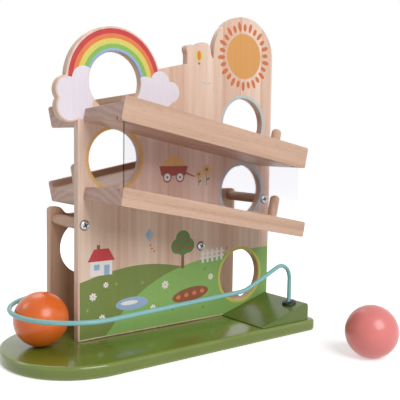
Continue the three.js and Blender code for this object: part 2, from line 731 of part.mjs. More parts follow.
// Wedge in side view: level underside, a blunt toe, and a slope that ends in a rounded upper edge
function wedgeGeometry() {
  const topCentre = {
    x: BOARD_LENGTH - WEDGE_TOP_RADIUS,
    y: WEDGE_HEIGHT - WEDGE_TOP_RADIUS * Math.tan((Math.PI / 2 + wedgeTilt) / 2),
  };
  const side = new THREE.Shape();
  side.moveTo(wedgeStart, 0);
  side.lineTo(BOARD_LENGTH, 0);
  arcTo(side, topCentre, WEDGE_TOP_RADIUS, 0, Math.PI / 2 + wedgeTilt);
  side.lineTo(wedgeStart, WEDGE_TOE_HEIGHT);
  side.closePath();
  const solid = new THREE.ExtrudeGeometry(side, { depth: wedgeDepth, bevelEnabled: false });
  solid.rotateX(Math.PI / 2);
  const socket = rod(ROD_DIAMETER / 2 + CLEARANCE, WEDGE_HEIGHT).translate(
    railFoot.x,
    railFoot.y,
    railFoot.surface - ROD_SOCKET_DEPTH,
  );
  const pilots = wedgeScrewPlaces().map(({ x, y }) => pilotHole(x, y, WEDGE_SCREW_BITE));
  return cut(solid, [socket, ...pilots]);
}

function wedgeSurface(x) {
  return WEDGE_TOE_HEIGHT + ((x - wedgeStart) * wedgeRise) / WEDGE_LENGTH;
}

// Chute block in end view: it leans so that a ball rolls forward through the exit hole
function chuteGeometry() {
  const end = new THREE.Shape();
  end.moveTo(BOARD_THICKNESS, 0);
  end.lineTo(rearFront, 0);
  end.lineTo(rearFront, CHUTE_REAR_HEIGHT);
  end.lineTo(BOARD_THICKNESS, CHUTE_FRONT_HEIGHT);
  end.closePath();
  const alongX = new THREE.Matrix4().makeBasis(
    new THREE.Vector3(0, 1, 0),
    new THREE.Vector3(0, 0, 1),
    new THREE.Vector3(1, 0, 0),
  );
  return new THREE.ExtrudeGeometry(end, { depth: CHUTE_WIDTH, bevelEnabled: false })
    .applyMatrix4(alongX)
    .translate(rightHoleX - CHUTE_WIDTH / 2, 0, 0);
}

function pilotHole(x, y, bite) {
  const radius = BASE_SCREW_DIAMETER / 2 + CLEARANCE;
  return rod(radius, CUT_OVERRUN + bite + CLEARANCE).translate(x, y, -CUT_OVERRUN);
}

function boardScrewPlaces(y) {
  return BOARD_SCREW_SHARES.map((share) => ({ x: BOARD_LENGTH * share, y }));
}

function wedgeScrewPlaces() {
  return WEDGE_SCREW_DEPTH_SHARES.map((share) => ({
    x: wedgeStart + WEDGE_LENGTH * WEDGE_SCREW_LENGTH_SHARE,
    y: -wedgeDepth * share,
  }));
}

// Both boards carry the three spacers on through screws, and base screws in their lower edges
function boardGeometry(shape) {
  const board = uprightPlank(shape, BOARD_THICKNESS, BOARD_EDGE_RADIUS);
  const spacerHoles = Object.values(dowelPlaces).map(({ x, z }) =>
    rod(SCREW_SHANK_DIAMETER / 2 + CLEARANCE, BOARD_THICKNESS + 2 * CUT_OVERRUN)
      .rotateX(-Math.PI / 2)
      .translate(x, -CUT_OVERRUN, z),
  );
  const pilots = boardScrewPlaces(BOARD_THICKNESS / 2).map(({ x, y }) => pilotHole(x, y, BASE_SCREW_BITE));
  return cut(board, [...spacerHoles, ...pilots]);
}

function dowelGeometry() {
  const body = rod(DOWEL_DIAMETER / 2, boardGap);
  const depth = SCREW_DEPTH_IN_DOWEL + CLEARANCE;
  const hole = rod(SCREW_SHANK_DIAMETER / 2 + CLEARANCE, depth + CUT_OVERRUN);
  const near = hole.clone().translate(0, 0, -CUT_OVERRUN);
  const far = hole.clone().translate(0, 0, boardGap - depth);
  return cut(body, [near, far]).rotateX(-Math.PI / 2);
}

function baseGeometry(screwPlaces) {
  const board = plank(baseShape(), BASE_THICKNESS, BASE_EDGE_RADIUS);
  const screwHoles = screwPlaces.map(({ x, y }) =>
    baseScrewHole().translate(boardLeft + x, boardFront + y, 0),
  );
  const railSocket = rod(ROD_DIAMETER / 2 + CLEARANCE, ROD_SOCKET_DEPTH + CUT_OVERRUN).translate(
    boardLeft + railEnd.x,
    boardFront + railEnd.y,
    BASE_THICKNESS - ROD_SOCKET_DEPTH,
  );
  return cut(board, [...screwHoles, railSocket]);
}

// The rail's two feet: on the wedge at the right, and in the base just short of the rear board
const railFoot = {
  x: BOARD_LENGTH - ROD_FOOT_FROM_BOARD_END,
  y: ROD_FOOT_FROM_BASE_EDGE - LANE_WIDTH,
  surface: wedgeSurface(BOARD_LENGTH - ROD_FOOT_FROM_BOARD_END),
};
const railEnd = findRailEnd();

// The loop stops short of a half turn, so that the leg after its last bend clears the rear board
function findRailEnd() {
  const reach = Math.hypot(loopRadius, ROD_END_RADIUS);
  const toLegEnd = Math.asin(ROD_END_FROM_BOARD_EDGE / reach);
  const shortOfHalfTurn = toLegEnd + Math.atan2(ROD_END_RADIUS, loopRadius);
  return {
    shortOfHalfTurn,
    x: ROD_END_RADIUS * Math.cos(shortOfHalfTurn) - loopRadius * Math.sin(shortOfHalfTurn),
    y: loopY + loopRadius * Math.cos(shortOfHalfTurn) + ROD_END_RADIUS * Math.sin(shortOfHalfTurn),
  };
}

const frontScrews = boardScrewPlaces(BOARD_THICKNESS / 2);
const rearScrews = boardScrewPlaces(rearFront + BOARD_THICKNESS / 2);
const wedgeScrews = wedgeScrewPlaces();

const toy = new THREE.Group();
const upperWorks = new THREE.Group();
upperWorks.position.set(boardLeft, boardFront, BASE_THICKNESS);

addPiece(toy, "base", baseGeometry([...frontScrews, ...rearScrews, ...wedgeScrews]), finishes.greenPaint);
toy.add(upperWorks);
addPiece(upperWorks, "exit_wedge", wedgeGeometry(), finishes.greenPaint);
addPiece(upperWorks, "front_board", boardGeometry(frontBoardShape()), finishes.pine);
addPiece(upperWorks, "rear_board", boardGeometry(rearBoardShape()), finishes.pine).position.y = rearFront;
addPiece(upperWorks, "chute_block", chuteGeometry(), finishes.pine);

// Spacers and their screws, one from each side
for (const [place, { x, z }] of Object.entries(dowelPlaces)) {
  const dowel = addPiece(upperWorks, `dowel_${place}`, dowelGeometry(), finishes.beech);
  dowel.position.set(x, BOARD_THICKNESS, z);
  const frontScrew = addPiece(
    upperWorks,
    `dowel_screw_front_${place}`,
    panScrewGeometry().rotateX(Math.PI / 2),
    finishes.zinc,
  );
  frontScrew.position.set(x, 0, z);
  const rearScrew = addPiece(
    upperWorks,
    `dowel_screw_rear_${place}`,
    panScrewGeometry().rotateX(-Math.PI / 2),
    finishes.zinc,
  );
  rearScrew.position.set(x, rearBack, z);
}

// Each ramp ends level with the lower rim of the hole that its ball leaves through, but the
// rear upper one a little above it
const ramps = {
  front_upper: { side: "front", lip: true, grooveBelow: true, endHeight: upperRightHoleHeight },
  front_lower: { side: "front", lip: false, grooveAbove: true, endHeight: middleRightHoleHeight },
  rear_upper: { side: "rear", lip: true, endHeight: rainbowHoleHeight + REAR_UPPER_RAMP_LIFT },
  rear_lower: { side: "rear", lip: true, endHeight: leftHoleHeight },
};

// The height of a ramp's lower left corner over the base
function rampFoot({ side, endHeight }) {
  const undersideAtHole = endHeight - holeRadius - RAMP_INNER_THICKNESS / Math.cos(RAMP_SLOPE);
  if (side === "front") {
    return undersideAtHole + (rightHoleX - FRONT_RAMP_INSET) * Math.tan(RAMP_SLOPE);
  }
  return undersideAtHole - (leftHoleX - REAR_RAMP_INSET) * Math.tan(RAMP_SLOPE);
}

for (const [name, ramp] of Object.entries(ramps)) {
  const front = ramp.side === "front";
  const outward = front ? -1 : 1;
  const pegFromBoard = front ? FRONT_PEG_FROM_BOARD : REAR_PEG_FROM_BOARD;
  const pegPlace = new THREE.Vector3(
    front ? rampLength - PEG_FROM_END : PEG_FROM_END,
    outward * pegFromBoard,
    rampFloor(pegFromBoard),
  );
  const group = new THREE.Group();
  const inset = front ? FRONT_RAMP_INSET : REAR_RAMP_INSET;
  group.position.set(inset, front ? 0 : BOARD_THICKNESS, rampFoot(ramp));
  group.rotation.y = front ? RAMP_SLOPE : -RAMP_SLOPE;
  upperWorks.add(group);
  const [side, level] = name.split("_");
  addPiece(group, `${side}_ramp_${level}`, rampGeometry({ outward, pegPlace, ...ramp }), finishes.pine);
  addPiece(group, `${side}_peg_${level}`, pegGeometry(), finishes.beech).position.copy(pegPlace);
}

// Window: upright ends, and long edges that follow the grooves of the two front ramps
function windowShape() {
  const drop = (x) => (x - FRONT_RAMP_INSET) * Math.tan(RAMP_SLOPE);
  const upright = Math.cos(RAMP_SLOPE);
  const lower = (x) => rampFoot(ramps.front_lower) + windowSeat() / upright - drop(x);
  const upper = (x) => rampFoot(ramps.front_upper) + (GROOVE_DEPTH - CLEARANCE) / upright - drop(x);
  const shape = new THREE.Shape();
  shape.moveTo(windowStart, lower(windowStart));
  shape.lineTo(windowEnd, lower(windowEnd));
  shape.lineTo(windowEnd, upper(windowEnd));
  shape.lineTo(windowStart, upper(windowStart));
  shape.closePath();
  return shape;
}

const pane = new THREE.ExtrudeGeometry(windowShape(), { depth: WINDOW_THICKNESS, bevelEnabled: false })
  .rotateX(Math.PI / 2)
  .translate(0, -windowFromBoard, 0);
addPiece(upperWorks, "window", pane, finishes.clearSheet);

// Rail and its grommets
addPiece(upperWorks, "rail", railGeometry(), finishes.tealCoating);
const wedgeGrommet = addPiece(upperWorks, "rail_grommet_wedge", grommetGeometry(), finishes.blackPlastic);
const wedgeGrommetX = railFoot.x + (GROMMET_HEIGHT / 2) * Math.sin(wedgeTilt);
wedgeGrommet.position.set(wedgeGrommetX, railFoot.y, wedgeSurface(wedgeGrommetX) + CLEARANCE);
wedgeGrommet.rotation.y = -wedgeTilt;
const baseGrommet = addPiece(upperWorks, "rail_grommet_base", grommetGeometry(), finishes.blackPlastic);
baseGrommet.position.set(railEnd.x, railEnd.y, 0);

// Base screws, numbered from the left
const screwRows = { front_board: frontScrews, rear_board: rearScrews, wedge: wedgeScrews };
for (const [row, places] of Object.entries(screwRows)) {
  const bite = row === "wedge" ? WEDGE_SCREW_BITE : BASE_SCREW_BITE;
  places.forEach(({ x, y }, index) => {
    const screw = addPiece(toy, `base_screw_${row}_${index + 1}`, baseScrewGeometry(bite), finishes.zinc);
    screw.position.set(boardLeft + x, boardFront + y, BASE_SCREW_SINK);
  });
}

// Balls: the orange one on the base inside the loop, the pink one on the table beside the toy
function ballGeometry() {
  const rings = Math.round(BALL_SIDES * BALL_RING_SHARE);
  return new THREE.SphereGeometry(ballRadius, BALL_SIDES, rings).rotateX(Math.PI / 2);
}

const orangeBall = addPiece(toy, "ball_orange", ballGeometry(), finishes.orangePaint);
const ballFromLoopCentre = loopRadius - ballRadius - ORANGE_BALL_ROD_GAP;
orangeBall.position.set(
  boardLeft + ballFromLoopCentre * Math.cos(ORANGE_BALL_ANGLE),
  ballFromLoopCentre * Math.sin(ORANGE_BALL_ANGLE),
  BASE_THICKNESS + ballRadius,
);
const pinkBall = addPiece(toy, "ball_pink", ballGeometry(), finishes.pinkPaint);
pinkBall.position.set(boardLeft + PINK_BALL_RIGHT, boardFront - PINK_BALL_FRONT, ballRadius);

export default toy;
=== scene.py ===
"""A wooden ball track toy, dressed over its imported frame: printed board, ramps, window, rail and balls."""

import math
import bmesh
import bpy
import numpy as np
from mathutils import Matrix
from mathutils.geometry import delaunay_2d_cdt


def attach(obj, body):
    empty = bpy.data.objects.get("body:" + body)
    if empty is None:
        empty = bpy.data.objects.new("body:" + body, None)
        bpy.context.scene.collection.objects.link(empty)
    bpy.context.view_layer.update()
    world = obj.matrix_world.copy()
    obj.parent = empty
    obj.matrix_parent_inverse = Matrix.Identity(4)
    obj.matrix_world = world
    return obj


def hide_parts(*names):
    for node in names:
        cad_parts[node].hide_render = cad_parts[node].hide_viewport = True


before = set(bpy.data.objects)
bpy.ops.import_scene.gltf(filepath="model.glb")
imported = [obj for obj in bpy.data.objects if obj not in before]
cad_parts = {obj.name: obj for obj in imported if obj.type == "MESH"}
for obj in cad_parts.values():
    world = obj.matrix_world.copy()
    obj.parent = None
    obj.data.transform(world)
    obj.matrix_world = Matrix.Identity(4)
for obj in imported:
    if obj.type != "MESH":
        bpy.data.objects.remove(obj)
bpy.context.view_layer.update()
for leftover in [o for o in bpy.data.objects if o.type in {"CAMERA", "LIGHT"}]:
    bpy.data.objects.remove(leftover)


# Base: one plank with a half-round end, sawn, sanded round its edges and sprayed with gloss
# olive paint. Everything else stands on it, and eight screws come up through it from below.

SAME_POINT = 0.0004


def arc(centre, radius, start, stop, steps):
    """Points on a circle: centre plus radius times the cosine and sine of angles in degrees."""
    angle = np.radians(np.linspace(start, stop, steps + 1))
    return np.column_stack([centre[0] + radius * np.cos(angle), centre[1] + radius * np.sin(angle)])


def closed_outline(*stretches):
    """Stretches of points joined end to end, without repeated points."""
    points = np.vstack([np.atleast_2d(np.asarray(s, float)) for s in stretches])
    apart = np.linalg.norm(points - np.roll(points, 1, axis=0), axis=1)
    return points[apart > 1e-6]


def unit(vectors):
    """Vectors divided by their lengths."""
    return vectors / np.linalg.norm(vectors, axis=-1, keepdims=True)


def edge_normals(outline):
    """Each edge's direction turned a quarter clockwise: outwards on an anticlockwise outline."""
    along = unit(np.roll(outline, -1, axis=0) - outline)
    return np.column_stack([along[:, 1], -along[:, 0]])


def inset(outline, distance):
    """Every point moved in along the bisector of its two edges, so each edge moves in by distance."""
    after = edge_normals(outline)
    before = np.roll(after, 1, axis=0)
    bisector = before + after
    bisector /= (1 + np.sum(before * after, axis=1))[:, None]
    return outline - bisector * distance


def no_paint(points):
    """Bare wood everywhere."""
    return np.zeros((len(points), 4))


def inside(points, polygon):
    """Whether a ray to the right of each point crosses the polygon's edges an odd number of times."""
    x, y = points[:, :1], points[:, 1:]
    x0, y0 = polygon[:, 0], polygon[:, 1]
    x1, y1 = np.roll(x0, -1), np.roll(y0, -1)
    spans = (y0 > y) != (y1 > y)
    rise = np.where(y1 == y0, 1, y1 - y0)
    crosses = spans & (x < (x1 - x0) * (y - y0) / rise + x0)
    return crosses.sum(axis=1) % 2 == 1


def flat_face(loops, drawings):
    """Triangles that fill the first loop less the others, cut along every drawing's outline."""
    chains = list(loops) + list(drawings)
    points = np.vstack(chains)
    starts = np.cumsum([0] + [len(c) for c in chains[:-1]])
    rings = [np.arange(len(c)) + s for c, s in zip(chains, starts)]
    edges = np.vstack([np.column_stack([ring, np.roll(ring, -1)]) for ring in rings])
    found, _, faces, *_ = delaunay_2d_cdt([tuple(p) for p in points], edges.tolist(), [], 0, 1e-5)
    found = np.array([tuple(p) for p in found])
    faces = np.array(faces)
    middle = found[faces].mean(axis=1)
    keep = inside(middle, loops[0])
    for hole in loops[1:]:
        keep &= ~inside(middle, hole)
    return found, faces[keep]


def crossings(outline, edge, found):
    """Where points of the flat face lie on an outline's inset: each one's side and its share of it."""
    ring = inset(outline, edge)
    normal = edge_normals(outline)
    along = np.roll(ring, -1, axis=0) - ring
    length = np.linalg.norm(along, axis=1)
    offset = found[:, None, :] - ring[None]
    share = np.sum(offset * along[None], axis=2) / length**2
    off = np.abs(np.sum(offset * normal[None], axis=2))
    on_edge = (off < SAME_POINT / 2) & (share * length > SAME_POINT) & ((1 - share) * length > SAME_POINT)
    point, side = np.nonzero(on_edge)
    share = share[point, side]
    order = np.lexsort((share, side))
    share, side = share[order], side[order]
    place = share * length[side]
    apart = (np.diff(side, prepend=-1) != 0) | (np.diff(place, prepend=-1) > SAME_POINT)
    return side[apart], share[apart]


def ring_at(outline, distance, added):
    """An outline's inset with its added points, each at its share of its own side."""
    side, share = added
    ring = inset(outline, distance)
    along = np.roll(ring, -1, axis=0) - ring
    return np.insert(ring, side + 1, ring[side] + along[side] * share[:, None], axis=0)


def rounded_board(outlines, thickness, drawings=(), paint=no_paint, steps=5):
    """A board in millimetres: each outline has its own edge radius, and a quarter round joins its
    sides to both faces. Returns points (x, up, depth), faces, each face's paint and its edge mask."""
    found, front = flat_face([inset(o, e) for o, e in outlines], drawings)
    added = [crossings(o, e, found) for o, e in outlines]
    plain, back = flat_face([ring_at(o, e, extra) for (o, e), extra in zip(outlines, added)], ())
    points = [np.column_stack([found, np.zeros(len(found))])]
    points.append(np.column_stack([plain, np.full(len(plain), thickness)]))
    faces = [front.tolist(), (back[:, ::-1] + len(found)).tolist()]
    paints = [paint(found[front].mean(axis=1)), np.zeros((len(back), 4))]
    rims = [np.zeros(len(front)), np.zeros(len(back))]
    base = len(found) + len(plain)
    turn = np.radians(np.linspace(0, 90, steps))
    for (outline, edge), extra in zip(outlines, added):
        ins = np.concatenate([edge * (1 - np.sin(turn)), edge * (1 - np.sin(turn[::-1]))])
        depth = np.concatenate([edge * (1 - np.cos(turn)), thickness - edge * (1 - np.cos(turn[::-1]))])
        flat_rings = [ring_at(outline, i, extra) for i in ins]
        rings = np.stack([np.column_stack([r, np.full(len(r), d)]) for r, d in zip(flat_rings, depth)])
        rows, count = rings.shape[:2]
        index = np.arange(rows * count).reshape(rows, count) + base
        onward = np.roll(index, -1, axis=1)
        quads = np.stack([index[:-1], index[1:], onward[1:], onward[:-1]], axis=-1)
        near = ring_at(outline, edge * 1.04, extra)
        middle = (near + np.roll(near, -1, axis=0)) / 2
        colour = np.zeros((rows - 1, count, 4))
        colour[: steps - 1] = paint(middle)
        rim = np.zeros((rows - 1, count))
        rim[: steps - 1] = 1
        rim[steps:] = 1
        points.append(rings.reshape(-1, 3))
        faces.append(quads.reshape(-1, 4).tolist())
        paints.append(colour.reshape(-1, 4))
        rims.append(rim.ravel())
        base += rows * count
    return np.vstack(points), sum(faces, []), np.vstack(paints), np.concatenate(rims)


def closed_skin(rings):
    """The surface through rings of points, each closed on itself, with a cap at either end."""
    index = np.arange(rings.shape[0] * rings.shape[1]).reshape(rings.shape[:2])
    onward = np.roll(index, -1, axis=1)
    quads = np.stack([index[:-1], onward[:-1], onward[1:], index[1:]], axis=-1).reshape(-1, 4)
    return rings.reshape(-1, 3), quads.tolist() + [index[0, ::-1].tolist(), index[-1].tolist()]


def add_piece(name, points, faces, material, nodes, body="toy", marks=(), bevel=0):
    """A mesh from points in millimetres on the object's own frame, with marks as face attributes."""
    mesh = bpy.data.meshes.new(name)
    mesh.from_pydata((np.asarray(points) / 1000).tolist(), [], faces)
    for mark, values in marks:
        values = np.asarray(values, float)
        kind = "FLOAT_COLOR" if values.ndim == 2 else "FLOAT"
        layer = mesh.attributes.new(mark, kind, "FACE")
        layer.data.foreach_set("color" if values.ndim == 2 else "value", values.ravel())
    work = bmesh.new()
    work.from_mesh(mesh)
    bmesh.ops.remove_doubles(work, verts=work.verts, dist=2e-7)
    bmesh.ops.recalc_face_normals(work, faces=work.faces)
    work.to_mesh(mesh)
    work.free()
    mesh.materials.append(material)
    piece = bpy.data.objects.new(name, mesh)
    bpy.context.scene.collection.objects.link(piece)
    if bevel:
        soft = piece.modifiers.new("eased", "BEVEL")
        soft.width, soft.segments = bevel / 1000, 3
        soft.limit_method, soft.angle_limit = "ANGLE", math.radians(40)
    mesh.shade_smooth()
    mesh.set_sharp_from_angle(angle=math.radians(30))
    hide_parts(*nodes)
    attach(piece, body)
    return piece


def add_node(tree, kind, inputs=(), **settings):
    """A shader node with its settings, and its inputs given as values or as sockets to link."""
    made = tree.nodes.new("ShaderNode" + kind)
    for name, value in settings.items():
        setattr(made, name, value)
    for name, value in dict(inputs).items():
        if isinstance(value, bpy.types.NodeSocket):
            tree.links.new(value, made.inputs[name])
        else:
            made.inputs[name].default_value = value
    return made


def colour(hex_code):
    """A written sRGB colour as the linear values that a shader socket takes."""
    value = np.array([int(hex_code[i:i + 2], 16) / 255 for i in (0, 2, 4)])
    linear = np.where(value <= 0.04045, value / 12.92, ((value + 0.055) / 1.055) ** 2.4)
    return (*linear, 1)


def object_place(tree):
    """The object's own coordinates."""
    return add_node(tree, "TexCoord").outputs["Object"]


def part_of(tree, place, axis):
    """One coordinate of a place."""
    return add_node(tree, "SeparateXYZ", {"Vector": place}).outputs[axis]


def face_mark(tree, name):
    """The sockets of a mark that add_piece has put on the faces."""
    return add_node(tree, "Attribute", attribute_name=name).outputs


def noise(tree, place, scale, detail, **more):
    """A noise texture's value at a place."""
    inputs = {"Vector": place, "Scale": scale, "Detail": detail}
    return add_node(tree, "TexNoise", inputs | more).outputs["Fac"]


def spread(tree, value, low=0.0, high=1.0, start=0.0, stop=1.0):
    """A value from between start and stop carried to between low and high, and no further."""
    inputs = {"Value": value, "From Min": start, "From Max": stop, "To Min": low, "To Max": high}
    return add_node(tree, "MapRange", inputs).outputs["Result"]


def blend(tree, share, first, second):
    """The first colour at a share of 0, the second at a share of 1."""
    inputs = {"Factor": share, "A": first, "B": second}
    return add_node(tree, "Mix", inputs, data_type="RGBA").outputs["Result"]


def reckon(tree, operation, *values):
    """The result of one math node."""
    inputs = dict(enumerate(values))
    return add_node(tree, "Math", inputs, operation=operation).outputs["Value"]


def feed(tree, end, **sources):
    """Links to a node's sockets, with underscores in a name standing for spaces."""
    for name, source in sources.items():
        tree.links.new(source, end.inputs[name.replace("_", " ")])


def new_group(name, inputs, outputs):
    """A shader node group, the values it is given and its end node. Each socket is named with its
    kind, or with the number that it holds while nothing is linked to it."""
    group = bpy.data.node_groups.new(name, "ShaderNodeTree")
    for way, sockets in (("INPUT", inputs), ("OUTPUT", outputs)):
        for label, kind in sockets.items():
            plain = isinstance(kind, float)
            kind_name = "NodeSocketFloat" if plain else "NodeSocket" + kind
            socket = group.interface.new_socket(label, in_out=way, socket_type=kind_name)
            if plain:
                socket.default_value = kind
    return group, group.nodes.new("NodeGroupInput").outputs, group.nodes.new("NodeGroupOutput")


def use_group(tree, group, **inputs):
    """One use of a node group, with underscores in a name standing for spaces."""
    named = {name.replace("_", " "): value for name, value in inputs.items()}
    return add_node(tree, "Group", named, node_tree=group)


def new_material(name, **sockets):
    """A material with one Principled shader whose plain sockets hold the given values."""
    material = bpy.data.materials.new(name)
    material.use_nodes = True
    shader = material.node_tree.nodes["Principled BSDF"]
    for label, value in sockets.items():
        shader.inputs[label.replace("_", " ")].default_value = value
    return material, material.node_tree, shader


# A sprayed film: the colour drifts a little, is paler on marked rounded edges as wear and as a painted
# highlight, and dries with a faint orange peel over the wood's raised grain.
film, film_in, film_out = new_group(
    "sprayed_film",
    {"Colour": "Color", "Pale Colour": "Color", "Peel Scale": 900.0, "Edge": 0.0},
    {"Colour": "Color", "Roughness Mask": "Float", "Height": "Float"},
)
film_place = object_place(film)
film_peel = noise(film, film_place, film_in["Peel Scale"], 1.0)
film_drift = spread(film, noise(film, film_place, 22.0, 3.0), 0.0, 0.22, 0.3, 0.7)
# Marked edges turn paler: partly worn paint, partly a painted highlight.
film_wear_and_highlight = reckon(film, "MULTIPLY", film_in["Edge"], 0.35)
film_pale = reckon(film, "ADD", film_drift, film_wear_and_highlight)
film_tone = blend(film, film_pale, film_in["Colour"], film_in["Pale Colour"])
feed(film, film_out, Colour=film_tone, Roughness_Mask=noise(film, film_place, 420.0, 2.0), Height=film_peel)


def dress(tree, shader, group, tone, smooth, rough, bump, depth):
    """A tone for the shader, with a group's masks as a range of roughness and a shallow bump."""
    inputs = {"Height": group.outputs["Height"], "Strength": bump, "Distance": depth}
    relief = add_node(tree, "Bump", inputs).outputs["Normal"]
    roughness = spread(tree, group.outputs["Roughness Mask"], smooth, rough)
    feed(tree, shader, Base_Color=tone, Roughness=roughness, Normal=relief)


def painted(name, main, pale, rough, gloss, peel=900.0, edge_mark=False, bump=0.02):
    """Paint on wood: the film group under a clear coat, paler where it is marked, as wear and a painted
    highlight.
    """
    material, tree, shader = new_material(name, Coat_Weight=gloss, Coat_Roughness=rough * 0.5, IOR=1.48)
    inputs = {"Colour": colour(main), "Pale_Colour": colour(pale), "Peel_Scale": peel}
    if edge_mark:
        inputs["Edge"] = face_mark(tree, "rim")["Fac"]
    coat = use_group(tree, film, **inputs)
    dress(tree, shader, coat, coat.outputs["Colour"], rough * 0.8, rough * 1.25, bump, 0.0004)
    return material


# The base's rounded edges are marked, so they are paler: wear and a painted highlight.
olive_paint = painted("olive_gloss_paint", "677a22", "8a9a48", 0.22, 0.4, edge_mark=True, bump=0.05)

BASE_LENGTH, BASE_WIDTH, BASE_THICKNESS = 328.5, 143.0, 12.5
BASE_CORNER_RADIUS, BASE_EDGE = 9.0, 3.0
BOARD_LEFT, BOARD_FRONT = 71.5 - BASE_LENGTH / 2, 69.0 - BASE_WIDTH / 2
BOARD_LENGTH, BOARD_THICKNESS, BOARD_GAP = 245.0, 9.0, 52.0
REAR_FRONT = BOARD_THICKNESS + BOARD_GAP
WEDGE_START, WEDGE_DEPTH = 177.5, 66.0
SCREW_HOLE = 3.8
board_screws = [
    (BOARD_LENGTH * share, BOARD_THICKNESS / 2 + y) for y in (0, REAR_FRONT) for share in (0.08, 0.5, 0.965)
]
wedge_screw_x = WEDGE_START + (BOARD_LENGTH - WEDGE_START) * 0.7
wedge_screws = [(wedge_screw_x, -WEDGE_DEPTH * share) for share in (0.22, 0.5)]

half_length, half_width = BASE_LENGTH / 2, BASE_WIDTH / 2
base_outline = closed_outline(
    arc((-half_length + half_width, 0), half_width, 90, 270, 72),
    arc((half_length - BASE_CORNER_RADIUS, -half_width + BASE_CORNER_RADIUS), BASE_CORNER_RADIUS, -90, 0, 12),
    arc((half_length - BASE_CORNER_RADIUS, half_width - BASE_CORNER_RADIUS), BASE_CORNER_RADIUS, 0, 90, 12),
)
screw_outlines = [
    (closed_outline(arc((BOARD_LEFT + x, BOARD_FRONT + y), SCREW_HOLE, 360, 0, 20)), 0.25)
    for x, y in board_screws + wedge_screws
]
points, faces, _, rim = rounded_board([(base_outline, BASE_EDGE)] + screw_outlines, BASE_THICKNESS)
add_piece("base_plank", points, faces, olive_paint, ["base"], marks=[("rim", rim)])


# Front board: narrow pine staves glued edge to edge, cut to the outline of sun, crest, shoulder,
# rainbow and cloud, bored with five ball holes, sanded round every edge and printed on its face.
# Its print is in flat inks that let the grain through; the motifs are plain country ones.

HOLE_RADIUS, BOARD_EDGE = 28.5, 1.2
RAINBOW_CENTRE, RAINBOW_RADIUS = (40.0, 248.0), 52.0
SUN_CENTRE, SUN_RADIUS, SUN_NOTCH = (202.0, 286.0), 42.9, 185.5
CREST_START, CREST_SIZE = (124.5, 272.4), (31.0, 24.0)
CREST_CURVES = [
    [(1.13, 0.34), (1.08, 0.34), (1.05, 0.43)],
    [(1.02, 0.52), (1.01, 0.59), (1, 0.68)],
    [(0.98, 0.9), (0.86, 1), (0.7, 1)],
    [(0.5, 1), (0.42, 0.82), (0.28, 0.82)],
    [(0.24, 0.82), (0.2, 0.82), (0.14, 0.82)],
    [(0.02, 0.82), (-0.06, 0.76), (-0.06, 0.64)],
    [(-0.06, 0.52), (0, 0.48), (0, 0.34)],
]
UPPER_LOBE, UPPER_LOBE_RADIUS = (-9.0, 238.0), 13.5
LOWER_LOBE, LOWER_LOBE_RADIUS = (-7.5, 222.5), 14.3
ball_holes = {
    "rainbow": (40.0, 248.0),
    "upper_right": (202.5, 212.0),
    "left": (40.0, 174.5),
    "middle_right": (202.5, 138.7),
    "exit": (202.5, 43.6),
}


def curve_through(start, curve, steps):
    """A cubic Bezier: its four points weighted by the binomial terms of a share from 0 to 1."""
    t = np.linspace(0, 1, steps + 1)[1:, None]
    a, b, c, d = (np.asarray(p, float) for p in (start, *curve))
    return (1 - t) ** 3 * a + 3 * (1 - t) ** 2 * t * b + 3 * (1 - t) * t**2 * c + t**3 * d


def circles_cross(first, first_radius, second, second_radius):
    """The point right of the line from the first centre to the second, where the circles cross."""
    first, second = np.asarray(first), np.asarray(second)
    apart = np.linalg.norm(second - first)
    ahead = unit(second - first)
    along = (apart**2 + first_radius**2 - second_radius**2) / (2 * apart)
    across = math.sqrt(first_radius**2 - along**2)
    return first + ahead * along + np.array([ahead[1], -ahead[0]]) * across


def bearing(centre, point):
    """The angle in degrees from a centre to a point, from 0 to 360."""
    return math.degrees(math.atan2(point[1] - centre[1], point[0] - centre[0])) % 360


def crest_points():
    """The crest's curves, their points being shares of its width and height."""
    place = lambda share: np.array(CREST_START) + np.array(share) * CREST_SIZE
    last = arc(SUN_CENTRE, SUN_RADIUS, 0, SUN_NOTCH, 1)[-1]
    parts = []
    for curve in CREST_CURVES:
        parts.append(curve_through(last, [place(p) for p in curve], 6))
        last = parts[-1][-1]
    return np.vstack(parts)


rainbow_end = circles_cross(RAINBOW_CENTRE, RAINBOW_RADIUS, UPPER_LOBE, UPPER_LOBE_RADIUS)
lobe_notch = circles_cross(UPPER_LOBE, UPPER_LOBE_RADIUS, LOWER_LOBE, LOWER_LOBE_RADIUS)
lobe_foot = (0.0, LOWER_LOBE[1] - math.sqrt(LOWER_LOBE_RADIUS**2 - LOWER_LOBE[0] ** 2))
front_outline = closed_outline(
    (0, 0),
    (BOARD_LENGTH, 0),
    arc(SUN_CENTRE, SUN_RADIUS, 0, SUN_NOTCH, 60),
    crest_points(),
    CREST_START,
    arc(RAINBOW_CENTRE, RAINBOW_RADIUS, 18, bearing(RAINBOW_CENTRE, rainbow_end), 56),
    arc(UPPER_LOBE, UPPER_LOBE_RADIUS, bearing(UPPER_LOBE, rainbow_end), bearing(UPPER_LOBE, lobe_notch), 20),
    arc(LOWER_LOBE, LOWER_LOBE_RADIUS, bearing(LOWER_LOBE, lobe_notch), bearing(LOWER_LOBE, lobe_foot), 20),
)


def ball_hole(centre):
    """A hole's outline, clockwise, so that its inset goes into the wood."""
    return closed_outline(arc(centre, HOLE_RADIUS, 360, 0, 84))


def disc(x, z, radius, steps=36):
    """A round spot."""
    return closed_outline(arc((x, z), radius, 0, 360, steps))


def oval(x, z, long_half, short_half, turn=0, steps=28):
    """An ellipse turned by some degrees."""
    spot = closed_outline(arc((0, 0), 1, 0, 360, steps)) * (long_half, short_half)
    c, s = math.cos(math.radians(turn)), math.sin(math.radians(turn))
    return spot @ np.array([[c, s], [-s, c]]) + (x, z)


def band(centre, outer, inner, start, stop, steps=60):
    """Part of a flat ring between two angles."""
    return closed_outline(arc(centre, outer, start, stop, steps), arc(centre, inner, stop, start, steps))


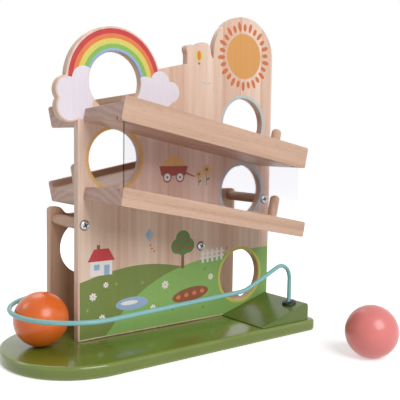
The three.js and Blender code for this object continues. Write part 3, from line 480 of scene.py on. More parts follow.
def flag(x, z, size, *corners):
    """A shape with straight sides, its corners counted from a place in steps of a size."""
    return np.array(corners, float) * size + (x, z)


# The colour called ink is no print ink: it is the painted shadow round each spacer screw's head.
INKS = {
    "red": "c11a2b", "orange": "e07732", "yellow": "d9cd5e", "green": "7ab64e", "blue": "94b3da",
    "cloud": "e8e2ee", "grey": "c2c9cb", "slate": "b6c1c4", "straw": "cec858", "amber": "e4b66a",
    "sun": "d5984e", "ray": "c86832", "dark_hill": "6c8335", "light_hill": "82b35c", "bark": "7a5236",
    "leaf": "55803a", "soil": "8a4529", "white": "f0ecec", "barn": "a0352b", "ink": "3e3230",
}

# The plain motifs of the print, in parts of one ink each: corners as (across, up), discs as
# (across, up, radius, steps) and ovals as (across, up, long half, short half, turn, steps).
motifs = {
    "apple_tree": (
        ("bark", (-2.2, 0), (2.2, 0), (1.4, 22), (-1.4, 22)),
        ("leaf", (-7, 24, 8, 36), (7, 24, 8, 36), (0, 31, 9.5, 36), (0, 22, 8, 36)),
        ("red", (-9, 26, 1.5, 12), (-2, 33, 1.5, 12), (6, 29, 1.5, 12), (1, 23, 1.5, 12)),
        ("red", (9, 22, 1.5, 12), (-5, 20, 1.5, 12)),
    ),
    "cottage": (
        ("white", (0, 0), (24, 0), (24, 15), (0, 15)),
        ("red", (-3, 14), (27, 14), (20, 26), (4, 26)),
        ("blue", (15, 0), (21, 0), (21, 10), (15, 10)),
        ("blue", (4, 5.5), (10, 5.5), (10, 11), (4, 11)),
        ("bark", (7, 26), (10.5, 26), (10.5, 30), (7, 30)),
    ),
    "toadstool": (
        ("white", (-0.3, 0), (0.3, 0), (0.25, 0.9), (-0.25, 0.9)),
        ("red", *arc((0, 0.8), 1, 0, 180, 18)),
        ("white", (-0.4, 1.15, 0.13, 10), (0.15, 1.4, 0.13, 10), (0.5, 1.05, 0.13, 10)),
    ),
    "hay_cart": (
        ("amber", (7, 17, 6.5, 24), (15, 20, 8, 24), (23, 17, 6.5, 24)),
        ("barn", (30, 9), (42, 5), (42, 6.4), (30, 11)),
        ("barn", (0, 7), (30, 7), (33, 17), (-3, 17)),
        ("bark", (7, 5.5, 5.5, 28), (23, 5.5, 5.5, 28)),
        ("white", (7, 5.5, 3.9, 24), (23, 5.5, 3.9, 24)),
        ("bark", (7, 5.5, 1.4, 12), (23, 5.5, 1.4, 12)),
    ),
    "balloon": (
        ("yellow", (-0.55, -0.8), (0.55, -0.8), (0.24, -1.2), (-0.24, -1.2)),
        ("yellow", (0, 0, 1, 36)),
        ("orange", (0, 0, 0.45, 1, 0, 24)),
        ("bark", (-0.22, -1.75), (0.22, -1.75), (0.28, -1.35), (-0.28, -1.35)),
    ),
    "bird": (
        ("slate", (0, 0), (-0.5, 0.5), (-1, 0.32), (-0.5, 0.22)),
        ("slate", (0.5, 0.22), (1, 0.32), (0.5, 0.5), (0, 0)),
    ),
    "kite": (
        ("blue", (0, -8), (0, 6.4), (-4.96, 0)),
        ("slate", (0, -8), (4.96, 0), (0, 6.4)),
        ("orange", (1, -11, 1.7, 0.8, 20, 12), (3, -14.5, 1.7, 0.8, -15, 12), (6, -17.5, 1.7, 0.8, 25, 12)),
    ),
}


def motif(name, x, z, size=1):
    """A motif's parts in order, at a place and a size."""
    parts = []
    for ink, *marks in motifs[name]:
        if len(marks[0]) == 2:
            parts.append((flag(x, z, size, *marks), ink))
            continue
        for across, up, long_half, *more in marks:
            short_half, turn, steps = more if len(more) == 3 else (long_half, 0, more[0])
            place = x + across * size, z + up * size
            parts.append((oval(*place, long_half * size, short_half * size, turn, steps), ink))
    return parts


def fence(x, z, pickets, rise, pitch=6.5):
    """Two rails and a row of pointed pickets that climb a slope."""
    run, climb, parts = pickets * pitch, rise * pickets * pitch, []
    for h in (4, 9):
        parts.append(flag(x, z, 1, (0, h), (run, climb + h), (run, climb + h + 1.6), (0, h + 1.6)))
    for number in range(pickets):
        left, foot = x + 1.4 + number * pitch, z + rise * (number + 0.5) * pitch
        parts.append(flag(left, foot, 1, (0, 0), (3, 0), (3, 12.5), (1.5, 14.6), (0, 12.5)))
    return [(part, "white") for part in parts]


def daisy(x, z, size, petal, heart="yellow", stem=0):
    """Petals at equal angles round a heart, on a stem if it has one."""
    parts = []
    for number, place in enumerate(arc((x, z), size * 0.62, 0, 360, 7)[:-1]):
        parts.append((oval(*place, size * 0.42, size * 0.26, number * 360 / 7, 14), petal))
    parts.append((disc(x, z, size * 0.3, 14), heart))
    if stem:
        stalk = flag(x, z, 1, (-0.5, -stem), (0.5, -stem), (0.5, 0), (-0.5, 0))
        leaf = oval(x + 2.2, z - stem * 0.6, 2.4, 0.9, 32, 12)
        parts = [(stalk, "leaf"), (leaf, "leaf")] + parts
    return parts


def tuft(x, z, size, ink):
    """Three blades of grass from one root."""
    half = 0.5 / size
    return [(flag(x, z, size, (-half, 0), (half, 0), (lean, 1)), ink) for lean in (-0.45, 0, 0.45)]


SUN_DISC, SUN_DISC_RADIUS, RAY_FOOT, RAYS = (201.8, 286.4), 24.4, 27.2, 26
PRINT_EDGE, SCREW_HEAD_RADIUS, SCREW_SHADOW = 1.8, 4.6, 0.55
dowels = {"left": (7.0, 112.0), "middle": (145.8, 81.0), "right": (BOARD_LENGTH - 8.8, 128.0)}


def country_print():
    """Every inked shape of the face in the order it is laid down, last the painted screw shadows."""
    edges, shapes = (50, 45.2, 40.8, 35.7, 31.5, 27), []
    for ink, outer, inner in zip(("red", "orange", "yellow", "green", "blue"), edges, edges[1:]):
        shapes.append((band(RAINBOW_CENTRE, outer, inner, 0, 184), ink))
    clouds = ((-9, 238, 11.7), (-7.5, 222.5, 12.4), (6, 248.5, 12), (4, 233, 13), (5, 222, 10.5))
    clouds += ((74, 244.5, 11), (91, 250.5, 11.4), (104.5, 242, 10.3), (84, 236, 10), (97, 237, 10.5))
    shapes += [(disc(*cloud), "cloud") for cloud in clouds + ((74, 236, 8.5),)]
    hole_rings = (("upper_right", 32.4, "grey"), ("left", 32, "amber"), ("middle_right", 32.8, "slate"))
    for name, radius, ink in hole_rings:
        shapes.append((disc(*ball_holes[name], radius, 84), ink))
    for number in range(RAYS):
        angle = number * 360 / RAYS + 6
        reach = 5.1 if number % 2 else 4.0
        middle = arc(SUN_DISC, RAY_FOOT + reach, angle, angle, 0)[0]
        shapes.append((oval(*middle, reach, 2.25, angle, 16), "ray"))
    shapes.append((disc(*SUN_DISC, SUN_DISC_RADIUS, 60), "sun"))
    along = np.linspace(0, 1, 40)
    dark_top = np.column_stack([PRINT_EDGE + along * 130, 57 + 11 * np.sin(along * math.pi * 0.95)])
    dark_foot = [(PRINT_EDGE + 130, PRINT_EDGE), (PRINT_EDGE, PRINT_EDGE)]
    shapes.append((np.vstack([dark_top, dark_foot]), "dark_hill"))
    rise = (1 - np.exp(-along * 220 / 52)) / (1 - math.exp(-220 / 52))
    light_top = np.column_stack([30 + along * 220, 73 * rise])
    light_top[0, 1] = PRINT_EDGE
    shapes.append((np.vstack([light_top, [(250, PRINT_EDGE)]]), "light_hill"))
    shapes.append((disc(*ball_holes["exit"], 32, 84), "straw"))
    shapes += motif("cottage", 13, 62) + motif("apple_tree", 122, 59)
    shapes += fence(146, 62, 5, 0.05) + motif("kite", 80, 98)
    shapes.append((oval(60, 30, 19, 6.5), "blue"))
    shapes.append((oval(57, 31, 10, 2.2), "white"))
    shapes.append((oval(133, 30, 24, 7.5, 6), "soil"))
    for number in range(4):
        left, foot = 117 + number * 10.5, 28.5 + number * 1.1
        shapes.append((oval(left, foot, 2.9, 2.3, 0, 18), "orange"))
        shapes += tuft(left, 30.6 + number * 1.1, 2.6, "leaf")
    meadow = ((16, 42, 4), (30, 52, 3), (100, 44, 4.4), (85, 22, 3.4), (160, 46, 3.6), (26, 20, 3.6))
    for x, z, size in meadow + ((166, 22, 3),):
        shapes += daisy(x, z, size, "white")
    for x, z in ((42, 50), (72, 48), (88, 36), (10, 28), (110, 15), (150, 12), (152, 54), (182, 74)):
        shapes += tuft(x, z, 4.5, "leaf" if x > 95 else "light_hill")
    shapes += motif("hay_cart", 94, 150)
    shapes += daisy(152, 163, 6, "amber", "bark", 17) + daisy(141.5, 158, 4.6, "amber", "bark", 12)
    shapes += motif("toadstool", 130, 205, 5.5) + motif("toadstool", 146, 203, 4.4)
    shapes += motif("balloon", 139.6, 281.8, 5.2)
    shapes += motif("bird", 150, 252, 6.5) + motif("bird", 163, 246, 5)
    # Dark discs a little wider than the spacer screws' heads: painted shadow round each head, not print.
    shapes += [(disc(x, z, SCREW_HEAD_RADIUS + SCREW_SHADOW, 40), "ink") for x, z in dowels.values()]
    return shapes


country = country_print()


def country_paint(points):
    """The last inked shape that holds each point, as its colour with cover 1."""
    laid = np.zeros((len(points), 4))
    for polygon, ink in country:
        laid[inside(points, polygon)] = colour(INKS[ink])
    return laid


def standing(points, front):
    """A flat board's points stood up on the base, its face at a distance behind the front board's."""
    return points[:, [0, 2, 1]] + (BOARD_LEFT, BOARD_FRONT + front, BASE_THICKNESS)


# Sawn pine: staves of slightly different tone, each with its own growth rings, long fibres and
# short dark flecks. The grain runs along the group's Z; a Mapping node in each material turns it.
grain, grain_in, grain_out = new_group(
    "stave_grain",
    {
        "Vector": "Vector",
        "Light": "Color",
        "Dark": "Color",
        "Stave Width": 0.017,
        "Stave Contrast": 0.5,
        "Fleck": 0.3,
    },
    {"Colour": "Color", "Height": "Float", "Roughness Mask": "Float"},
)
across = part_of(grain, grain_in["Vector"], "X")
stave_at = reckon(grain, "DIVIDE", across, grain_in["Stave Width"])
stave_wave = reckon(grain, "SINE", reckon(grain, "MULTIPLY", across, 97.0))
stave_uneven = reckon(grain, "MULTIPLY_ADD", stave_wave, 0.32, stave_at)
stave_number = reckon(grain, "FLOOR", reckon(grain, "ADD", stave_uneven, 57.3))
stave_tone = add_node(grain, "TexWhiteNoise", {"W": stave_number}, noise_dimensions="1D")
slide = {0: grain_in["Vector"], 1: stave_tone.outputs["Color"]}
stave_place = add_node(grain, "VectorMath", slide, operation="ADD").outputs["Vector"]


def drawn_noise(scale, detail, **more):
    """Noise in a stave, drawn out by a scale for each axis."""
    place = add_node(grain, "Mapping", {"Vector": stave_place, "Scale": scale}).outputs["Vector"]
    return noise(grain, place, 1.0, detail, **more)


growth_rings = spread(grain, drawn_noise((150, 60, 5.5), 3.0, Distortion=0.4), start=0.36, stop=0.66)
fibres = drawn_noise((1500, 900, 26), 2.0)
flecks = spread(grain, drawn_noise((1900, 1900, 190), 1.0), start=0.6, stop=0.74)
darkness = reckon(grain, "MULTIPLY", stave_tone.outputs["Value"], grain_in["Stave Contrast"])
darkness = reckon(grain, "MULTIPLY_ADD", growth_rings, 0.34, darkness)
darkness = reckon(grain, "MULTIPLY_ADD", fibres, 0.3, darkness)
darkness = reckon(grain, "MULTIPLY_ADD", flecks, grain_in["Fleck"], darkness)
grain_tone = blend(grain, darkness, grain_in["Light"], grain_in["Dark"])
grain_relief = reckon(grain, "MULTIPLY_ADD", flecks, -0.6, fibres)
feed(grain, grain_out, Colour=grain_tone, Height=grain_relief, Roughness_Mask=growth_rings)


INK_COVER, END_GRAIN_COVER = 0.93, 0.88


def lacquered_wood(
    name, light, dark, turn=(0, 0, 0), stave=0.017, contrast=0.5, fleck=0.3, print_mark=None, end_mark=None,
    rough=0.52, gloss=0.06,
):
    """Wood under a thin clear lacquer, with its print laid over the grain and its end grain in
    curved rings of a greyer brown."""
    material, tree, shader = new_material(name, IOR=1.45, Coat_Weight=gloss, Coat_Roughness=0.3)
    place = object_place(tree)
    turned = add_node(tree, "Mapping", {"Vector": place, "Rotation": turn}).outputs["Vector"]
    tones = {"Light": colour(light), "Dark": colour(dark)}
    sizes = {"Stave_Width": stave, "Stave_Contrast": contrast, "Fleck": fleck}
    wood = use_group(tree, grain, Vector=turned, **tones, **sizes)
    seen = wood.outputs["Colour"]
    if print_mark:
        ink = face_mark(tree, print_mark)
        grained = {0: ink["Color"], "Scale": spread(tree, wood.outputs["Height"], 0.9, 1.06)}
        laid = add_node(tree, "VectorMath", grained, operation="SCALE").outputs["Vector"]
        seen = blend(tree, reckon(tree, "MULTIPLY", ink["Alpha"], INK_COVER), seen, laid)
    if end_mark:
        end = face_mark(tree, end_mark)["Fac"]
        curves = {"Vector": place, "Scale": 48.0, "Distortion": 3.0, "Detail": 2.0, "Detail Scale": 1.5}
        rings = add_node(tree, "TexWave", curves, wave_type="RINGS", rings_direction="X")
        cut = blend(tree, rings.outputs["Fac"], colour("cba898"), colour("b7968a"))
        seen = blend(tree, reckon(tree, "MULTIPLY", end, END_GRAIN_COVER), seen, cut)
    dress(tree, shader, wood, seen, rough - 0.05, rough + 0.08, 0.25, 0.00025)
    return material


printed_pine = lacquered_wood(
    "printed_pine", "f1d9c8", "c9a088", stave=0.0178, contrast=0.4, fleck=0.2, print_mark="ink"
)
outlines = [(front_outline, BOARD_EDGE)] + [(ball_hole(c), BOARD_EDGE) for c in ball_holes.values()]
points, faces, laid, _ = rounded_board(outlines, BOARD_THICKNESS, [p for p, _ in country], country_paint)
add_piece(
    "front_board_printed", standing(points, 0), faces, printed_pine, ["front_board"],
    marks=[("ink", laid)],
)


# Rear board: the same staves, low and unprinted, with an ear at each end for the end spacers and
# one ball hole. It stands on the base a ball's width behind the front board.

REAR_RIGHT_HEIGHT, REAR_LEFT_HEIGHT, REAR_DIP, REAR_RIGHT_DIP = 136.5, 124.5, 116.5, 120.5
REAR_EAR, REAR_LEFT_EAR, REAR_EAR_RADIUS, REAR_SWEEP = 22.0, 8.0, 4.0, 22.0
rear_hole = (40.0, 81.0)


def sweep(start, end):
    """An S from one level to another: a cubic with level ends."""
    middle = (start[0] + end[0]) / 2
    return np.vstack([start, curve_through(start, [(middle, start[1]), (middle, end[1]), end], 14)])


rear_outline = closed_outline(
    (0, 0),
    (BOARD_LENGTH, 0),
    arc((BOARD_LENGTH - REAR_EAR_RADIUS, REAR_RIGHT_HEIGHT - REAR_EAR_RADIUS), REAR_EAR_RADIUS, 0, 90, 8),
    sweep(
        (BOARD_LENGTH - REAR_EAR, REAR_RIGHT_HEIGHT), (BOARD_LENGTH - REAR_EAR - REAR_SWEEP, REAR_RIGHT_DIP)
    ),
    sweep((REAR_SWEEP, REAR_DIP), (REAR_LEFT_EAR, REAR_LEFT_HEIGHT)),
    arc((REAR_EAR_RADIUS, REAR_LEFT_HEIGHT - REAR_EAR_RADIUS), REAR_EAR_RADIUS, 90, 180, 8),
)
plain_pine = lacquered_wood("plain_pine_upright", "e6c6ad", "c09474", stave=0.0205, contrast=0.45, fleck=0.25)
outlines = [(rear_outline, BOARD_EDGE), (ball_hole(rear_hole), BOARD_EDGE)]
points, faces, *_ = rounded_board(outlines, BOARD_THICKNESS)
add_piece("rear_board_staves", standing(points, REAR_FRONT), faces, plain_pine, ["rear_board"])


# Spacers: three turned beech dowels that hold the boards a ball's width apart, each drawn up by a
# pan head screw from either side. The screws are zinc plated, with a cross recess.

DOWEL_RADIUS = 5.5
SCREW_HEAD_HEIGHT, SCREW_HEAD_RIM, SCREW_SHANK_RADIUS = 2.4, 0.8, 2.0


def full_turn(sides):
    """Equal angles round a circle, in radians."""
    return np.arange(sides) * 2 * math.pi / sides


def turned(profile, sides=48):
    """A closed turned shape: a profile of (radius, height) carried round the Z axis."""
    profile, angle = np.asarray(profile, float), full_turn(sides)
    x, y = profile[:, :1] * np.cos(angle), profile[:, :1] * np.sin(angle)
    return closed_skin(np.stack([x, y, np.repeat(profile[:, 1:], sides, axis=1)], axis=-1))


def quarter(radius, height, across, up, steps=6):
    """A quarter ellipse in a profile, from its side up to its top."""
    turn = np.radians(np.linspace(0, 90, steps))
    return [(radius + across * math.cos(t), height + up * math.sin(t)) for t in turn]


def placed(points, place, tilt=0, towards_y=0):
    """Points turned about Y by tilt degrees and stood towards Y if asked, then moved to a place."""
    turn = Matrix.Rotation(math.radians(tilt), 3, "Y")
    if towards_y:
        turn = Matrix.Rotation(math.radians(-90 * towards_y), 3, "X") @ turn
    return points @ np.array(turn).T + place


def on_board(x, y, z):
    """A place given from the front board's lower left corner."""
    return np.array([x + BOARD_LEFT, y + BOARD_FRONT, z + BASE_THICKNESS])


beech_grain = {"stave": 0.2, "contrast": 0.3, "fleck": 0.45, "rough": 0.45}
quarter_turn = (math.radians(90), 0, 0)
beech = lacquered_wood("turned_beech", "e4c3a9", "c59d82", **beech_grain)
# A darker copy of the same beech for the spacers: painted shade for the gap between the boards.
shaded_beech_across = lacquered_wood("turned_beech_across", "d2a98e", "ae866b", turn=quarter_turn, **beech_grain)
dowel_top = quarter(DOWEL_RADIUS - 0.4, BOARD_GAP - 0.4, 0.4, 0.4)
dowel_profile = [(r, BOARD_GAP - z) for r, z in dowel_top[::-1]] + dowel_top


def clouded(tree, scale, detail, tones, roughness):
    """A colour and a roughness that drift together between two of each."""
    cloud = noise(tree, object_place(tree), scale, detail)
    return blend(tree, cloud, *(colour(tone) for tone in tones)), spread(tree, cloud, *roughness)


zinc, zinc_tree, zinc_shader = new_material("zinc_plate", Metallic=1.0, IOR=2.0)
zinc_tone, zinc_rough = clouded(zinc_tree, 700.0, 3.0, ("aeb0b2", "cfd1d2"), (0.22, 0.42))
# The cross recess is coloured dark grey: painted shade in the hollow.
zinc_and_recess_shade = blend(zinc_tree, face_mark(zinc_tree, "recess")["Fac"], zinc_tone, colour("4a4b4e"))
feed(zinc_tree, zinc_shader, Base_Color=zinc_and_recess_shade, Roughness=zinc_rough)


def recessed_head(radius, height, rim, turn, depth=1.5, sides=72, rows=16):
    """A domed head on a polar grid: an ellipse's height less a cross-shaped dip with soft walls."""
    share = np.linspace(0, 1, rows)[:, None]
    angle = full_turn(sides)[None]
    x, y = radius * share * np.cos(angle), radius * share * np.sin(angle)
    c, s = math.cos(math.radians(turn)), math.sin(math.radians(turn))
    u, v = x * c + y * s, y * c - x * s
    thin_u, thin_v = (np.clip((0.72 - np.abs(a)) / 0.3, 0, 1) for a in (u, v))
    long_u, long_v = (np.clip((radius * 0.56 - np.abs(a)) / 0.5, 0, 1) for a in (u, v))
    dip = depth * np.maximum(thin_u * long_v, thin_v * long_u)
    z = rim + (height - rim) * np.sqrt(np.clip(1 - share**2, 0, 1)) - dip
    return x, y, z, dip / depth


def screw_head(radius, height, rim, turn, rings, **recess):
    """The recessed dome and the rings of (radius, level) below it, in one closed skin, with each
    face's share of the recess."""
    x, y, z, dip = (part[1:] for part in recessed_head(radius, height, rim, turn, **recess))
    angle = full_turn(x.shape[1])
    for ring_radius, level in rings:
        x = np.vstack([x, ring_radius * np.cos(angle)])
        y = np.vstack([y, ring_radius * np.sin(angle)])
        z = np.vstack([z, np.full(len(angle), float(level))])
        dip = np.vstack([dip, np.zeros(len(angle))])
    points, faces = closed_skin(np.stack([x, y, z], axis=-1))
    return points, faces, dip.ravel()[np.array(faces[:-2])].mean(axis=-1).tolist() + [1.0, 0.0]


shank = ((SCREW_HEAD_RADIUS, 0), (SCREW_SHANK_RADIUS, 0), (SCREW_SHANK_RADIUS, -6))
for number, (name, (x, z)) in enumerate(dowels.items()):
    points, faces = turned(dowel_profile)
    middle = on_board(x, BOARD_THICKNESS, z)
    stood = placed(points, middle, towards_y=1)
    add_piece(f"spacer_{name}", stood, faces, shaded_beech_across, [f"dowel_{name}"])
    for side, level, way in (("front", 0, -1), ("rear", REAR_FRONT + BOARD_THICKNESS, 1)):
        head = SCREW_HEAD_RADIUS, SCREW_HEAD_HEIGHT, SCREW_HEAD_RIM
        points, faces, recess = screw_head(*head, 25 + 37 * number, shank)
        stood = placed(points, on_board(x, level, z), towards_y=way)
        add_piece(
            f"pan_head_{side}_{name}", stood, faces, zinc, [f"dowel_screw_{side}_{name}"],
            marks=[("recess", recess)],
        )


# Ramps: one pine plank each, milled thin at the board and thick outside so that the ball hugs the
# board, with a lip left standing outside. They are glued and screwed to the front board's two faces,
# and each runs down to the hole that its ball leaves through. The plank's end corners are eased.

RAMP_WIDTH, RAMP_LENGTH, RAMP_SLOPE = 69.0, 229.0, 11.0
RAMP_INNER, RAMP_OUTER, RAMP_CORNER = 12.0, 16.3, 2.2
LIP_FOOT, LIP_START, LIP_HEIGHT = RAMP_WIDTH - 8.3, RAMP_WIDTH - 5.7, 5.9
GROOVE_START, GROOVE_END, GROOVE_DEPTH = 59.5, 62.1, 3.3
FRONT_INSET, REAR_INSET = 5.3, 10.0
SLOPE_RISE, SLOPE_REACH = math.tan(math.radians(RAMP_SLOPE)), math.cos(math.radians(RAMP_SLOPE))


def ramp_floor(out):
    """The plank's thickness at a distance out from the board: a straight taper."""
    return RAMP_INNER + (RAMP_OUTER - RAMP_INNER) * out / RAMP_WIDTH


def plank_section(bottom, top, low_corner, high_corner):
    """The plank seen from the front: a long rectangle with rounded corners, as (along, up)."""
    low, high = max(low_corner, 0.05), max(high_corner, 0.05)
    return np.vstack([
        arc((low, bottom + low), low, 180, 270, 6),
        arc((RAMP_LENGTH - low, bottom + low), low, 270, 360, 6),
        arc((RAMP_LENGTH - high, top - high), high, 0, 90, 6),
        arc((high, top - high), high, 90, 180, 6),
    ])


def ramp_mesh(lip, groove_below, groove_above):
    """The sections of one ramp from the board out: the floor's taper, then the lip's slope up to its
    top, less the window's groove from below or from above."""
    lip_top = ramp_floor(LIP_START) + LIP_HEIGHT

    def section(out, in_groove):
        rise = np.clip((out - LIP_FOOT) / (LIP_START - LIP_FOOT), 0, 1) if lip else 0
        bottom, top = 0, ramp_floor(out) + (lip_top - ramp_floor(out)) * rise
        corner = RAMP_CORNER if out == RAMP_WIDTH else 0.6 + (RAMP_CORNER - 0.6) * rise
        if in_groove and groove_below:
            bottom = GROOVE_DEPTH
        if in_groove and groove_above:
            top = ramp_floor((GROOVE_START + GROOVE_END) / 2) - GROOVE_DEPTH
        ends = plank_section(bottom, top, 0.3 if bottom else RAMP_CORNER, corner)
        return np.insert(ends, 1, out, axis=1)

    places = [(0, False), (GROOVE_START, False), (GROOVE_START, True)]
    places += [(LIP_FOOT, True), (GROOVE_END, True), (GROOVE_END, False)]
    places += [(LIP_START, False), (RAMP_WIDTH, False)]
    return closed_skin(np.stack([section(*place) for place in places]))


def ramp_foot(side, hole_height, lift):
    """The height of a ramp's lower left corner, so that its floor comes to the lower rim of its hole
    or a little over it."""
    level = hole_height + lift - HOLE_RADIUS - RAMP_INNER / SLOPE_REACH
    if side == "front":
        return level + (ball_holes["exit"][0] - FRONT_INSET) * SLOPE_RISE
    return level - (ball_holes["left"][0] - REAR_INSET) * SLOPE_RISE


def on_ramp(points, side, foot):
    """Points of a ramp's own frame (along, out, up), tilted and set against the front board."""
    way = -1 if side == "front" else 1
    turned_points = points * (1, way, 1)
    if side == "front":
        return placed(turned_points, on_board(FRONT_INSET, 0, foot), RAMP_SLOPE)
    return placed(turned_points, on_board(REAR_INSET, BOARD_THICKNESS, foot), -RAMP_SLOPE)


ramps = {
    "front_ramp_upper": ("front", "upper_right", 0, (True, True, False)),
    "front_ramp_lower": ("front", "middle_right", 0, (False, False, True)),
    "rear_ramp_upper": ("rear", "rainbow", 2.2, (True, False, False)),
    "rear_ramp_lower": ("rear", "left", 0, (True, False, False)),
}
plank_pine = {
    side: lacquered_wood(
        f"plank_pine_{side}",
        "d2b09a",
        "aa8169",
        turn=(0, math.radians(-90 + lean), 0),
        stave=0.4,
        contrast=0.15,
        fleck=0.42,
        end_mark="end",
        rough=0.5,
        gloss=0.14,
    )
    for side, lean in (("front", -RAMP_SLOPE), ("rear", RAMP_SLOPE))
}
ramp_feet = {}
for name, (side, hole, lift, shape) in ramps.items():
    ramp_feet[name] = ramp_foot(side, ball_holes[hole][1], lift)
    points, faces = ramp_mesh(*shape)
    middle = np.array([points[list(face), 0].mean() for face in faces])
    end = ((middle < RAMP_CORNER * 0.4) | (middle > RAMP_LENGTH - RAMP_CORNER * 0.4)).astype(float)
    add_piece(
        name + "_plank", on_ramp(points, side, ramp_feet[name]), faces, plank_pine[side], [name],
        marks=[("end", end)], bevel=0.7,
    )


# Stop pegs: turned beech with a domed top, glued into a bored socket near the low end of each ramp,
# where they turn the ball towards its hole.

PEG_RADIUS, PEG_HEIGHT, PEG_FROM_END, PEG_SEAT = 5.25, 27.0, 9.5, 0.4
peg_profile = [(PEG_RADIUS, -PEG_SEAT)] + quarter(
    0, PEG_HEIGHT - PEG_RADIUS * 0.8, PEG_RADIUS, PEG_RADIUS * 0.8, 14
)
peg_profile[-1] = (0.02, PEG_HEIGHT)
for name, (side, *_) in ramps.items():
    peg = name.replace("ramp", "peg")
    points, faces = turned(peg_profile)
    along, out = (RAMP_LENGTH - PEG_FROM_END, 27.0) if side == "front" else (PEG_FROM_END, 20.0)
    lifted = points + (along, out, ramp_floor(out))
    add_piece(peg + "_turned", on_ramp(lifted, side, ramp_feet[name]), faces, beech, [peg])


# Window: a clear acrylic sheet, cut to a parallelogram and slid into the grooves of the two front
# ramps. Its long edges lie in the grooves, and its sawn left end has painted shade: dark grey, less clear.

WINDOW_OUT, WINDOW_THICKNESS, WINDOW_ENDS, FIT = 59.8, 2.0, (12.5, 228.99), 0.3


def prism(outline, front, back):
    """A flat outline of (x, up) carried from one depth to another, with both faces closed."""
    outline = np.asarray(outline, float)
    count = len(outline)
    points = np.vstack([np.insert(outline, 1, y, axis=1) for y in (front, back)])
    near, far = np.arange(count), np.arange(count) + count
    sides = np.column_stack([near, np.roll(near, -1), np.roll(far, -1), far])
    return points, sides.tolist() + [near.tolist(), far[::-1].tolist()]


def window_edge(x, ramp, height):
    """The level of a line that follows a front ramp at a height over its underside."""
    return ramp_feet[ramp] + height / SLOPE_REACH - (x - FRONT_INSET) * SLOPE_RISE


seat = ramp_floor(WINDOW_OUT + WINDOW_THICKNESS / 2) - GROOVE_DEPTH + FIT
window_foot, window_top = ("front_ramp_lower", seat), ("front_ramp_upper", GROOVE_DEPTH - FIT)
window_outline = [(x, window_edge(x, *window_foot)) for x in WINDOW_ENDS]
window_outline += [(x, window_edge(x, *window_top)) for x in WINDOW_ENDS[::-1]]
acrylic, acrylic_tree, acrylic_shader = new_material("clear_acrylic", Transmission_Weight=1.0, IOR=1.015)
acrylic_tone, acrylic_rough = clouded(acrylic_tree, 60.0, 4.0, ("a59fb8", "b3adc5"), (0.0, 0.004))
# Painted shade on the sawn left end: a thin strip turns dark grey and less see-through.
sawn_end = (BOARD_LEFT + WINDOW_ENDS[0]) / 1000
acrylic_x = part_of(acrylic_tree, object_place(acrylic_tree), "X")
painted_end_shade = spread(acrylic_tree, acrylic_x, 1.0, 0.0, sawn_end + 0.0002, sawn_end + 0.0005)
feed(
    acrylic_tree, acrylic_shader,
    Base_Color=blend(acrylic_tree, painted_end_shade, acrylic_tone, colour("4c4644")), Roughness=acrylic_rough,
    Alpha=spread(acrylic_tree, painted_end_shade, 0.16, 0.75),
)
points, faces = prism(window_outline, -WINDOW_OUT - WINDOW_THICKNESS, -WINDOW_OUT)
add_piece("window_sheet", points + on_board(0, 0, 0), faces, acrylic, ["window"], bevel=0.25)


# Chute block and exit wedge: a sawn pine block between the boards leans forward, so that the ball
# leaves through the lowest hole, and a painted wedge in front of it rolls the ball into the lane.

CHUTE_WIDTH, CHUTE_FRONT, CHUTE_REAR = 25.0, 14.6, 20.0
WEDGE_HEIGHT, WEDGE_TOE, WEDGE_CORNER = 20.0, 1.2, 4.0
chute_section = [(BOARD_THICKNESS, 0), (REAR_FRONT, 0)]
chute_section += [(REAR_FRONT, CHUTE_REAR), (BOARD_THICKNESS, CHUTE_FRONT)]
points, faces = prism(chute_section, -CHUTE_WIDTH / 2, CHUTE_WIDTH / 2)
points = points[:, [1, 0, 2]] + (ball_holes["exit"][0], 0, 0)
chute_pine = lacquered_wood(
    "chute_pine", "e3bd9c", "bd8f6b", turn=quarter_turn, stave=0.4, contrast=0.2, fleck=0.4
)
add_piece(
    "chute_block_sawn", points + on_board(0, 0, 0), faces, chute_pine, ["chute_block"], bevel=0.6
)

wedge_tilt = math.degrees(math.atan2(WEDGE_HEIGHT - WEDGE_TOE, BOARD_LENGTH - WEDGE_START))
corner_back = WEDGE_CORNER * math.tan(math.radians(45 + wedge_tilt / 2))
wedge_outline = closed_outline(
    (WEDGE_START, 0),
    (BOARD_LENGTH, 0),
    arc((BOARD_LENGTH - WEDGE_CORNER, WEDGE_HEIGHT - corner_back), WEDGE_CORNER, 0, 90 + wedge_tilt, 10),
    (WEDGE_START, WEDGE_TOE),
)
points, faces = prism(wedge_outline, -WEDGE_DEPTH, 0)
wedge_paint = painted("olive_wedge_paint", "576d24", "799044", 0.24, 0.1, bump=0.05)
add_piece(
    "exit_wedge_painted", points + on_board(0, 0, 0), faces, wedge_paint, ["exit_wedge"],
    bevel=0.6,
)


# Rail: one steel rod with a satin teal powder coat. It rises from the wedge, bends over a crest,
# runs down to the lane and along the base's edge, round the left end, and down into the base.

ROD_RADIUS, ROD_FROM_EDGE = 2.2, 10.0
LOOP_LEVEL, RISE_X, RISE_LEVEL, RISE_RADIUS = 35.3, 158.0, 41.4, 46.0
CREST_LEVEL, CREST_RADIUS, FOOT_X, FOOT_Y = 67.0, 16.5, BOARD_LENGTH - 13.5, -49.5
END_RADIUS, END_X = 9.0, -12.0
LOOP_CENTRE, LOOP_RADIUS = np.array([half_width - 71.5, half_width - 69.0]), half_width - ROD_FROM_EDGE


def space_arc(start, along, inward, radius, turn, steps):
    """A circular bend in space: it leaves along one direction and turns towards another."""
    angle = np.linspace(0, turn, steps + 1)[:, None]
    return start + inward * radius * (1 - np.cos(angle)) + along * radius * np.sin(angle)


